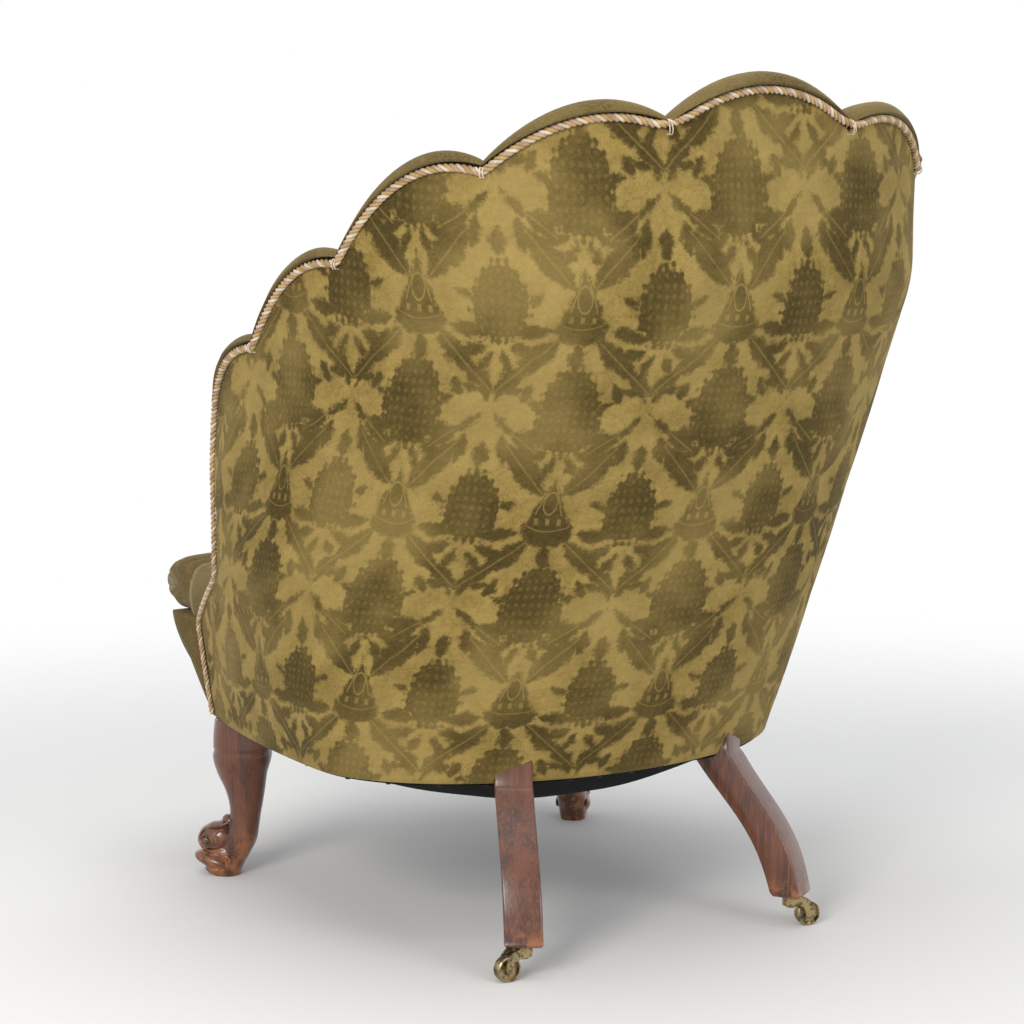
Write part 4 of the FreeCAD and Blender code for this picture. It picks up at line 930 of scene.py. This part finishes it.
# Upright rings across the seat, with a flat base, round sides and a crown that falls off with the width.
def seatRings():
    ahead = np.linspace(-seat["front"], 0, 30)
    behind = np.linspace(0, seat["rear"] * 0.97 - tub["centre"], 30)[1:]
    y = np.concatenate([ahead, behind])
    half = seatHalf(y)
    zero = 0 * y
    low = zero + seat["base"]
    side = low + seat["side"]
    top = side + seat["crown"] * half / seat["half"]
    middle = (low + side) / 2
    tuck = 8
    parts = [
        curve(np.array([-half + tuck, low]), np.array([zero, low]), np.array([half - tuck, low]), 8),
        curve(np.array([half - tuck, low]), np.array([half + 1, middle]), np.array([half - tuck, side]), 8),
        curve(np.array([half - tuck, side]), np.array([zero, top]), np.array([-half + tuck, side]), 34),
        curve(np.array([-half + tuck, side]), np.array([-half - 1, middle]),
              np.array([-half + tuck, low]), 8),
    ]
    loop = np.concatenate(parts)
    x = loop[:, 0].T
    z = loop[:, 1].T
    yy = np.broadcast_to(y[:, None], x.shape)
    ripple = 0.8 * np.sin(x / 31 + yy / 47) + 0.6 * np.sin(yy / 19 - x / 53)
    return np.stack([x, yy, z + ripple * (z > seat["base"] + 40)], -1)


points, faces = ringBody(seatRings())
item = makeMesh("seat_cushion", points, faces, finishes["plain_velvet"])
piece(item, "plain_velvet", "seat_cover")


# Rings along the front roll: a squarish round whose radius is gathered in pleats towards both ends.
def rollRings():
    t = np.linspace(-1, 1, 141)
    x = seat["rollHalf"] * np.sin(t * np.pi / 2)
    share = np.abs(x) / seat["rollHalf"]
    pinch = 1 - 0.10 * share ** 10 - 0.30 * share ** 60
    middle = (seat["rollTop"] + seat["rollBottom"]) / 2
    half = (seat["rollTop"] - seat["rollBottom"]) / 2 * pinch
    rear = -seat["front"] - 0.7
    front = -lerp(seat["rollFront"], seat["rollFront"] - 9, share ** 2)
    angle = np.linspace(0, 2 * np.pi, 72, endpoint=False)
    cosine = np.cos(angle)
    sine = np.sin(angle)
    flatness = np.sign(cosine) * np.abs(cosine) ** 0.8
    height = np.sign(sine) * np.abs(sine) ** 0.8
    centreY = (rear + front) / 2
    reachY = (rear - front) / 2
    gather = np.abs(np.sin(angle[None, :] * seat["pleats"] / 2 + 1.2 * np.sign(x)[:, None])) ** 0.6
    ends = share[:, None]
    depth = 1 - (0.085 * ends ** 10 + 0.035 * ends ** 4) * (1 - gather)
    wave = 1 + 0.006 * np.sin(x[:, None] / 23 + angle[None] * 3)
    y = centreY[:, None] - reachY[:, None] * flatness[None] * depth * wave
    z = middle + half[:, None] * height[None] * depth * wave
    xx = np.broadcast_to(x[:, None], y.shape)
    return np.stack([xx, y, z], -1)


border = {
    "rear": -321.7,
    "bottom": 196.7,
    "top": 321,
    "footReach": 342,
    "topReach": 398,
    "bulge": 9,
    "bulgeFrom": 0.55,
    "clearance": 3.2,
    "bend": 11,
}


# The roll carries on beside the seat to the arm: upright half rounds between the seat and the cover.
def earRings():
    rings = []
    inner = seat["half"] + 0.7
    high = seat["rollTop"] - 6
    for share in np.linspace(1.0, 0.22, 24):
        station = Stations(np.array([armFront + share]))
        edge = station.at(np.array([3.7]), station.edge)[0]
        low = min(float(station.edge[0]) - 14, high - 8)
        y = min(float(edge[1]), -seat["front"] - 9 + 400 * (1 - share))
        outX = float(edge[0]) - 1
        t = np.linspace(-np.pi / 2, np.pi / 2, 16)
        x = inner + (outX - inner) * np.cos(t) ** 0.7
        z = lerp(low, high, (np.sin(t) + 1) / 2)
        crease = 0.8 * np.sin(share * 60)
        arc = np.stack([x + crease * np.cos(t), np.full_like(t, y), z], -1)
        rings.append(np.concatenate([arc, [[inner - 1, y, high], [inner - 1, y, low]]]))
    return np.array(rings)


points, faces = joined([ringBody(rollRings()), ringBody(earRings()), ringBody(flipped(earRings()))])
item = makeMesh("seat_roll", points, faces, finishes["plain_velvet"])
piece(item, "plain_velvet", "seat_front_roll")


# Level rings up the front border, each with round corners and a slightly bowed front.
def borderRings():
    rings = []
    rows = 24
    rear = border["rear"]
    for row in range(rows + 1):
        share = row / rows
        z = lerp(border["bottom"], border["top"], share)
        bulging = min(max((share - border["bulgeFrom"]) / (1 - border["bulgeFrom"]), 0), 1)
        swell = border["bulge"] * max(math.sin(math.pi * bulging), 0) ** 0.7
        front = -lerp(border["footReach"], border["topReach"], share ** 0.9) - swell
        edge = Stations(np.array([corner])).at(np.array([0.0]), np.array([z]))[0, 0]
        half = edge - border["clearance"]
        bend = min(border["bend"], (rear - front) * 0.7)
        begin = (half, front + bend)
        turned = (half - bend, front + 2)
        right = curve(begin, (half - bend * 0.3, front + bend * 0.35), turned, 8)
        ahead = curve(turned, (0, front - 4), (-turned[0], turned[1]), 30)
        left = curve((-turned[0], turned[1]), (-half + bend * 0.3, front + bend * 0.35), (-half, begin[1]), 8)
        plan = np.concatenate([[[-half, rear], [half, rear]], right, ahead, left, [[-half, front + bend]]])
        rings.append(np.column_stack([plan, np.full(len(plan), z)]))
    return np.array(rings)


points, faces = ringBody(borderRings())
item = makeMesh("front_border", points, faces, finishes["plain_velvet"])
piece(item, "plain_velvet", "seat_front_border")
print("seat done")


# The black cloth nailed under the frame sags like a shallow bag.
under = {
    "top": 194.3,
    "edge": 8,
    "margin": 20,
    "sag": 52,
    "slope": 120,
    "front": -312.3,
    "rear": 174,
    "thickness": 0.8,
    "flat": (0.63, 0.54),
}


def frameHalf(y):
    behind = y + tub["centre"]
    rear = tub["rail"][0] * np.sqrt(np.maximum(1 - (np.maximum(behind, 0) / tub["rail"][1]) ** 2, 0))
    ahead = tub["rail"][0] * np.sqrt(np.maximum(1 - (np.minimum(behind, 0) / tub["rail"][2]) ** 2, 0))
    return np.where(behind >= 0, rear, ahead)


# The sag grows from every nailed edge and is deepest along the middle, with slight creases.
def dustCloth():
    y = np.linspace(under["front"], under["rear"], 70)[:, None]
    half = frameHalf(y) - under["edge"]
    share = np.linspace(-1, 1, 91)[None, :]
    x = share * half
    inner = half - under["margin"]
    fromEnd = np.minimum(y - under["front"], under["rear"] - y) - under["margin"]
    grown = np.clip(fromEnd / under["slope"], 0, 1)
    sag = under["sag"] * np.sin(np.pi / 2 * grown) ** 0.8
    bag = np.clip(1 - (x / inner) ** 2, 0, None)
    crease = 1.2 * np.sin(x / 21 + y / 60) * bag * grown
    z = under["top"] - 0.6 - sag * bag + crease
    grid = np.stack([x, np.broadcast_to(y, x.shape), z], -1)
    points = grid.reshape(-1, 3)
    faces = gridFaces(*x.shape)
    item = makeMesh("underside_cloth", points, faces[:, ::-1], finishes["black_cambric"], closed=False)
    thick = item.modifiers.new("cloth", "SOLIDIFY")
    thick.thickness = under["thickness"] * mm
    thick.offset = 0
    return item, areaOf(points, faces)


cloth, clothArea = dustCloth()
piece(cloth, "black_cambric", "dust_cover")
print("dust cloth", round(clothArea, 3))


# Rear legs: square sabre legs with rubbed, slightly rounded corners.
sabre = {
    "top": (139, 150),
    "toe": (183, 239),
    "toeHeight": 38,
    "azimuth": 32.5,
    "width": 42.5,
    "depths": (48, 35.6),
    "round": 2.6,
    "toeBevel": 3.0,
    "rows": 40,
}


def roundedSquare(halfX, halfY, radius, count=5):
    turn = np.linspace(0, np.pi / 2, count)
    points = []
    for quarter, (signX, signY) in enumerate(((1, 1), (-1, 1), (-1, -1), (1, -1))):
        angle = turn + quarter * np.pi / 2
        points.append(np.stack([signX * (halfX - radius) + radius * np.cos(angle),
                                signY * (halfY - radius) + radius * np.sin(angle)], -1))
    return np.concatenate(points)


# Level rings down the leg: its middle swings out along an S made of a line less a sine.
def sabreRings():
    rows = sabre["rows"]
    way = heading(sabre["azimuth"])
    across = heading(sabre["azimuth"] + 90)
    rings = []
    for share in np.concatenate([[-0.17], np.linspace(0, 1, rows), [1.0]]):
        held = max(share, 0)
        eased = held ** 0.7
        along = eased - 0.42 * math.sin(2 * math.pi * eased) / (2 * math.pi)
        shrink = sabre["toeBevel"] if len(rings) == rows + 1 else 0
        x = lerp(sabre["top"][0], sabre["toe"][0], along)
        y = lerp(sabre["top"][1], sabre["toe"][1], along)
        z = lerp(tub["foot"], sabre["toeHeight"], share)
        if len(rings) == rows:
            z = sabre["toeHeight"] + sabre["toeBevel"]
        out = lerp(sabre["depths"][0], sabre["depths"][1], held) / 2 - shrink * 0.6
        side = sabre["width"] / 2 - shrink * 0.6
        flat = roundedSquare(out, side, sabre["round"])
        plan = np.array([x, y]) + flat[:, :1] * way + flat[:, 1:] * across
        rings.append(np.column_stack([plan, np.full(len(plan), z)]))
    return np.array(rings)


for side, mirror in (("left", False), ("right", True)):
    rings = flipped(sabreRings()) if mirror else sabreRings()
    points, faces = ringBody(rings)
    item = makeMesh(f"sabre_leg_{side}", points, faces, finishes["mahogany"])
    piece(item, "mahogany", f"rear_leg_{side}")


# Front legs: a cabriole shaft with a carved fish head for a foot. o runs outward, s across and z up.
# Rows of the shaft are height, middle, half depth and half width.
claw = {
    "axis": (240, -299),
    "shaft": [(196, 2, 33, 33), (178, 2, 35, 34), (162, 2, 35.5, 34), (146, 3, 35, 32), (128, 3, 30, 26.5),
              (110, 0, 24.5, 22.5), (92, -1, 20.5, 19), (76, 0, 18.5, 17.5), (60, 3, 19, 18),
              (44, 9, 22, 19), (28, 17, 22, 19), (14, 23, 20, 18), (5, 25, 18, 17), (0, 25, 16.5, 16)],
    "post": 22,
    "dome": (34, 27, 46, 20, 22),
}
legOut = np.array([math.sqrt(0.5), -math.sqrt(0.5), 0.0])
legSide = np.array([math.sqrt(0.5), math.sqrt(0.5), 0.0])
legUp = np.array([0.0, 0.0, 1.0])
legAxis = np.array([claw["axis"][0], claw["axis"][1], 0.0])


def legPoint(o, s, z):
    o, s, z = (np.asarray(value)[..., None] for value in (o, s, z))
    return legAxis + legOut * o + legSide * s + legUp * z


# A cubic through the rows of a table, with each slope taken from the neighbouring rows.
def splined(table, count):
    table = np.array(table, float)[::-1]
    z = np.linspace(table[0, 0], table[-1, 0], count)
    columns = []
    for column in range(1, table.shape[1]):
        slopes = np.gradient(table[:, column], table[:, 0])
        index = np.clip(np.searchsorted(table[:, 0], z) - 1, 0, len(table) - 2)
        width = table[index + 1, 0] - table[index, 0]
        t = (z - table[index, 0]) / width
        a, b = table[index, column], table[index + 1, column]
        ma, mb = slopes[index] * width, slopes[index + 1] * width
        columns.append((2 * t ** 3 - 3 * t ** 2 + 1) * a + (t ** 3 - 2 * t ** 2 + t) * ma
                       + (3 * t ** 2 - 2 * t ** 3) * b + (t ** 3 - t ** 2) * mb)
    return z, columns


def shaftBody():
    z, (middle, halfOut, halfSide) = splined(claw["shaft"], 80)
    angle = np.linspace(0, 2 * np.pi, 40, endpoint=False)
    bow = np.abs(np.cos(angle)) ** 0.85 * np.sign(np.cos(angle))
    beam = np.abs(np.sin(angle)) ** 0.85 * np.sign(np.sin(angle))
    o = middle[:, None] + halfOut[:, None] * bow
    s = halfSide[:, None] * beam
    cut = 1.6 * np.exp(-((z - 158) / 1.8) ** 2)
    o = o - cut[:, None] * np.cos(angle)
    s = s - cut[:, None] * np.sin(angle)
    return ringBody(legPoint(o, s, np.broadcast_to(z[:, None], o.shape)))


# An egg-shaped lump with its middle, half sizes and tilt in the leg's own o, z plane.
def lump(middle, halves, tilt=0.0, rows=20, columns=32, power=1.0, carve=None):
    polar = np.linspace(0.02, np.pi - 0.02, rows)[:, None]
    angle = np.linspace(0, 2 * np.pi, columns, endpoint=False)[None, :]
    a = halves[0] * np.cos(polar) * np.ones_like(angle)
    b = halves[1] * np.sin(polar) ** power * np.cos(angle)
    c = halves[2] * np.sin(polar) ** power * np.sin(angle)
    if carve is not None:
        a, b, c = carve(a, b, c)
    turn = math.radians(tilt)
    o = middle[0] + a * math.cos(turn) - c * math.sin(turn)
    z = middle[2] + a * math.sin(turn) + c * math.cos(turn)
    return ringBody(legPoint(o, middle[1] + b, np.maximum(z, 0)))


# A raised line of round section through points given as (o, s, z), thinner at its ends if tapered.
def ridge(points, radius, taper=True):
    dense = smoothed(np.array(points, float), 3)
    path = legPoint(dense[:, 0], dense[:, 1], dense[:, 2])
    share = np.linspace(0, 1, len(path))
    thinning = np.sin(np.pi * np.clip(share, 0.04, 0.96)) ** 0.5
    width = radius * (thinning if taper else np.ones_like(share))
    tangent = unit(np.gradient(path, axis=0))
    beside = unit(np.cross(tangent, legOut + 0.3 * legUp))
    other = np.cross(tangent, beside)
    ring = np.linspace(0, 2 * np.pi, 10, endpoint=False)
    spread = beside[:, None] * np.cos(ring)[None, :, None] + other[:, None] * np.sin(ring)[None, :, None]
    return ringBody(path[:, None] + spread * width[:, None, None])


def loopPoints(o, z, radiusO, radiusZ, s, start, end, bulge, count=14, shrink=0.0):
    turn = np.radians(np.linspace(start, end, count))
    fade = 1 - shrink * np.linspace(0, 1, count)
    return [(o + radiusO * f * math.cos(t), s + bulge * math.cos(t), z + radiusZ * f * math.sin(t))
            for t, f in zip(turn, fade)]


def footBodies():
    def scales(a, b, c):
        grow = 1 + 0.02 * np.sin(a / 2.2) * (c > 4)
        return a, b * grow, c * grow

    bodies = [
        lump((34, 0, 46), (27, 22, 20), -14, power=0.9, carve=scales),
        lump((36, 0, 17), (30, 21, 11), 14),
        lump((26, 0, 26), (25, 21, 20), -6),
        lump((34, 0, 7), (18, 17, 8), 0),
        lump((18, 0, 66), (12, 10, 8), 30),
    ]
    for hand in (1, -1):
        face = 20.0 * hand
        bodies += [
            ridge(onDome(loopPoints(44, 46, 8.5, 5.4, 0, 0, 360, 0, 22), hand), 1.2, taper=False),
            lump((44, hand * (domeFace(44, 46) - 0.6), 46), (5.4, 2.6, 3.3), 14),
            ridge(onDome(loopPoints(27, 54, 7.5, 5.5, 0, 200, 560, 0, 26, shrink=0.55), hand), 1.5),
            ridge(loopPoints(19, 21, 6.0, 6.5, face * 1.0, -60, 250, 0, 22, shrink=0.35), 2.0),
            ridge([(19, face * 1.0, 27), (30, face * 0.99, 26.5), (42, face * 0.86, 27.5),
                   (54, face * 0.5, 29), (61, face * 0.12, 27)], 1.9),
            ridge([(22, face * 0.96, 34), (34, face * 1.02, 32), (46, face * 0.86, 33.5),
                   (55, face * 0.45, 37)], 1.6),
            ridge(onDome([(47, 0, 60), (54, 0, 52), (56, 0, 43)], hand), 1.3),
            ridge([(12, face * 0.7, 73), (20, face * 0.8, 66), (33, face * 0.86, 63),
                   (45, face * 0.7, 60)], 1.7),
        ]
    return bodies


# The post above the knee stands in the seat frame.
def postBody(top):
    flat = roundedSquare(claw["post"], claw["post"], 1.5) + np.array(claw["axis"])
    return ringBody(np.array([np.column_stack([flat, np.full(len(flat), z)]) for z in (150, 190, top)]))


# How far the dome of the head stands from the leg's middle plane.
def domeFace(o, z):
    middleO, halfO, middleZ, halfZ, halfS = claw["dome"]
    inside = 1 - ((o - middleO) / halfO) ** 2 - ((z - middleZ) / halfZ) ** 2
    return halfS * max(inside, 0.12) ** 0.46 + 0.4


def onDome(points, hand):
    return [(o, hand * domeFace(o, z), z) for o, _, z in points]


postTop = float(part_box("front_leg_left")[1][2]) / mm
legBodies = [shaftBody(), postBody(postTop)] + footBodies()
legPoints, legFaces = joined(legBodies)
for side, mirror in (("left", False), ("right", True)):
    points = flipped(legPoints) if mirror else legPoints
    item = makeMesh(f"carved_leg_{side}", points, legFaces, finishes["mahogany"])
    piece(item, "mahogany", f"front_leg_{side}")
print("legs done")


# Floor, light and camera.
studio = {
    "camera": (1.75125, 2.64428, 0.900),
    "way": (-0.53747, -0.83235, -0.13537),
    "lens": 96.655,
    "floor": (0.80, 0.79, 0.775),
    "floorSize": 14.0,
    "fade": (0.75, 2.1),
    "ambient": 0.62,
}


def studioFloor():
    size = studio["floorSize"]
    mesh = bpy.data.meshes.new("floor")
    corners = [(-size, -size, 0), (size, -size, 0), (size, size, 0), (-size, size, 0)]
    mesh.from_pydata(corners, [], [(0, 1, 2, 3)])
    floor = bpy.data.objects.new("floor", mesh)
    bpy.context.scene.collection.objects.link(floor)
    paint = Paint("pale_floor", colour=studio["floor"], roughness=0.75, specular=0.2)
    x, y, _ = paint.parts(paint.place())
    away = (x * x + y * y).root()
    paint.give("alpha", 1.0 - away.step(*studio["fade"]))
    mesh.materials.append(paint.material)


def lamp(name, place, aim, size, power, colour=(1, 1, 1)):
    data = bpy.data.lights.new(name, "AREA")
    data.shape = "RECTANGLE"
    data.size, data.size_y = size
    data.energy = power
    data.color = colour
    item = bpy.data.objects.new(name, data)
    item.location = place
    item.rotation_euler = (Vector(aim) - Vector(place)).to_track_quat("-Z", "Y").to_euler()
    bpy.context.scene.collection.objects.link(item)


def studioSky():
    world = bpy.data.worlds.new("studio")
    bpy.context.scene.world = world
    world.use_nodes = True
    tree = world.node_tree
    tree.nodes.clear()
    output = tree.nodes.new("ShaderNodeOutputWorld")
    light = tree.nodes.new("ShaderNodeBackground")
    light.inputs["Color"].default_value = (0.93, 0.96, 1.0, 1)
    light.inputs["Strength"].default_value = studio["ambient"]
    white = tree.nodes.new("ShaderNodeBackground")
    white.inputs["Color"].default_value = (1, 1, 1, 1)
    white.inputs["Strength"].default_value = 1.0
    rays = tree.nodes.new("ShaderNodeLightPath")
    seen = tree.nodes.new("ShaderNodeMath")
    seen.operation = "MAXIMUM"
    tree.links.new(rays.outputs["Is Camera Ray"], seen.inputs[0])
    through = tree.nodes.new("ShaderNodeMath")
    through.operation = "MAXIMUM"
    tree.links.new(rays.outputs["Is Glossy Ray"], through.inputs[0])
    tree.links.new(rays.outputs["Is Transmission Ray"], through.inputs[1])
    tree.links.new(through.outputs[0], seen.inputs[1])
    mixed = tree.nodes.new("ShaderNodeMixShader")
    tree.links.new(seen.outputs[0], mixed.inputs["Fac"])
    tree.links.new(light.outputs[0], mixed.inputs[1])
    tree.links.new(white.outputs[0], mixed.inputs[2])
    tree.links.new(mixed.outputs[0], output.inputs["Surface"])


studioFloor()
studioSky()
lamp("key", (3.4, 2.2, 2.4), (0, 0, 0.5), (1.6, 1.6), 95, (1.0, 0.97, 0.92))
lamp("fill", (-0.8, 4.2, 1.7), (0, 0, 0.5), (1.8, 1.4), 40, (0.95, 0.98, 1.0))
lamp("top", (0.2, 0.4, 3.2), (0, 0, 0.4), (2.0, 2.0), 38)

camera = bpy.data.objects.new("camera", bpy.data.cameras.new("camera"))
camera.location = studio["camera"]
camera.rotation_euler = Vector(studio["way"]).to_track_quat("-Z", "Y").to_euler()
camera.data.lens = studio["lens"]
camera.data.sensor_width = 36
bpy.context.scene.collection.objects.link(camera)
bpy.context.scene.camera = camera
bpy.context.scene.view_settings.view_transform = "Standard"
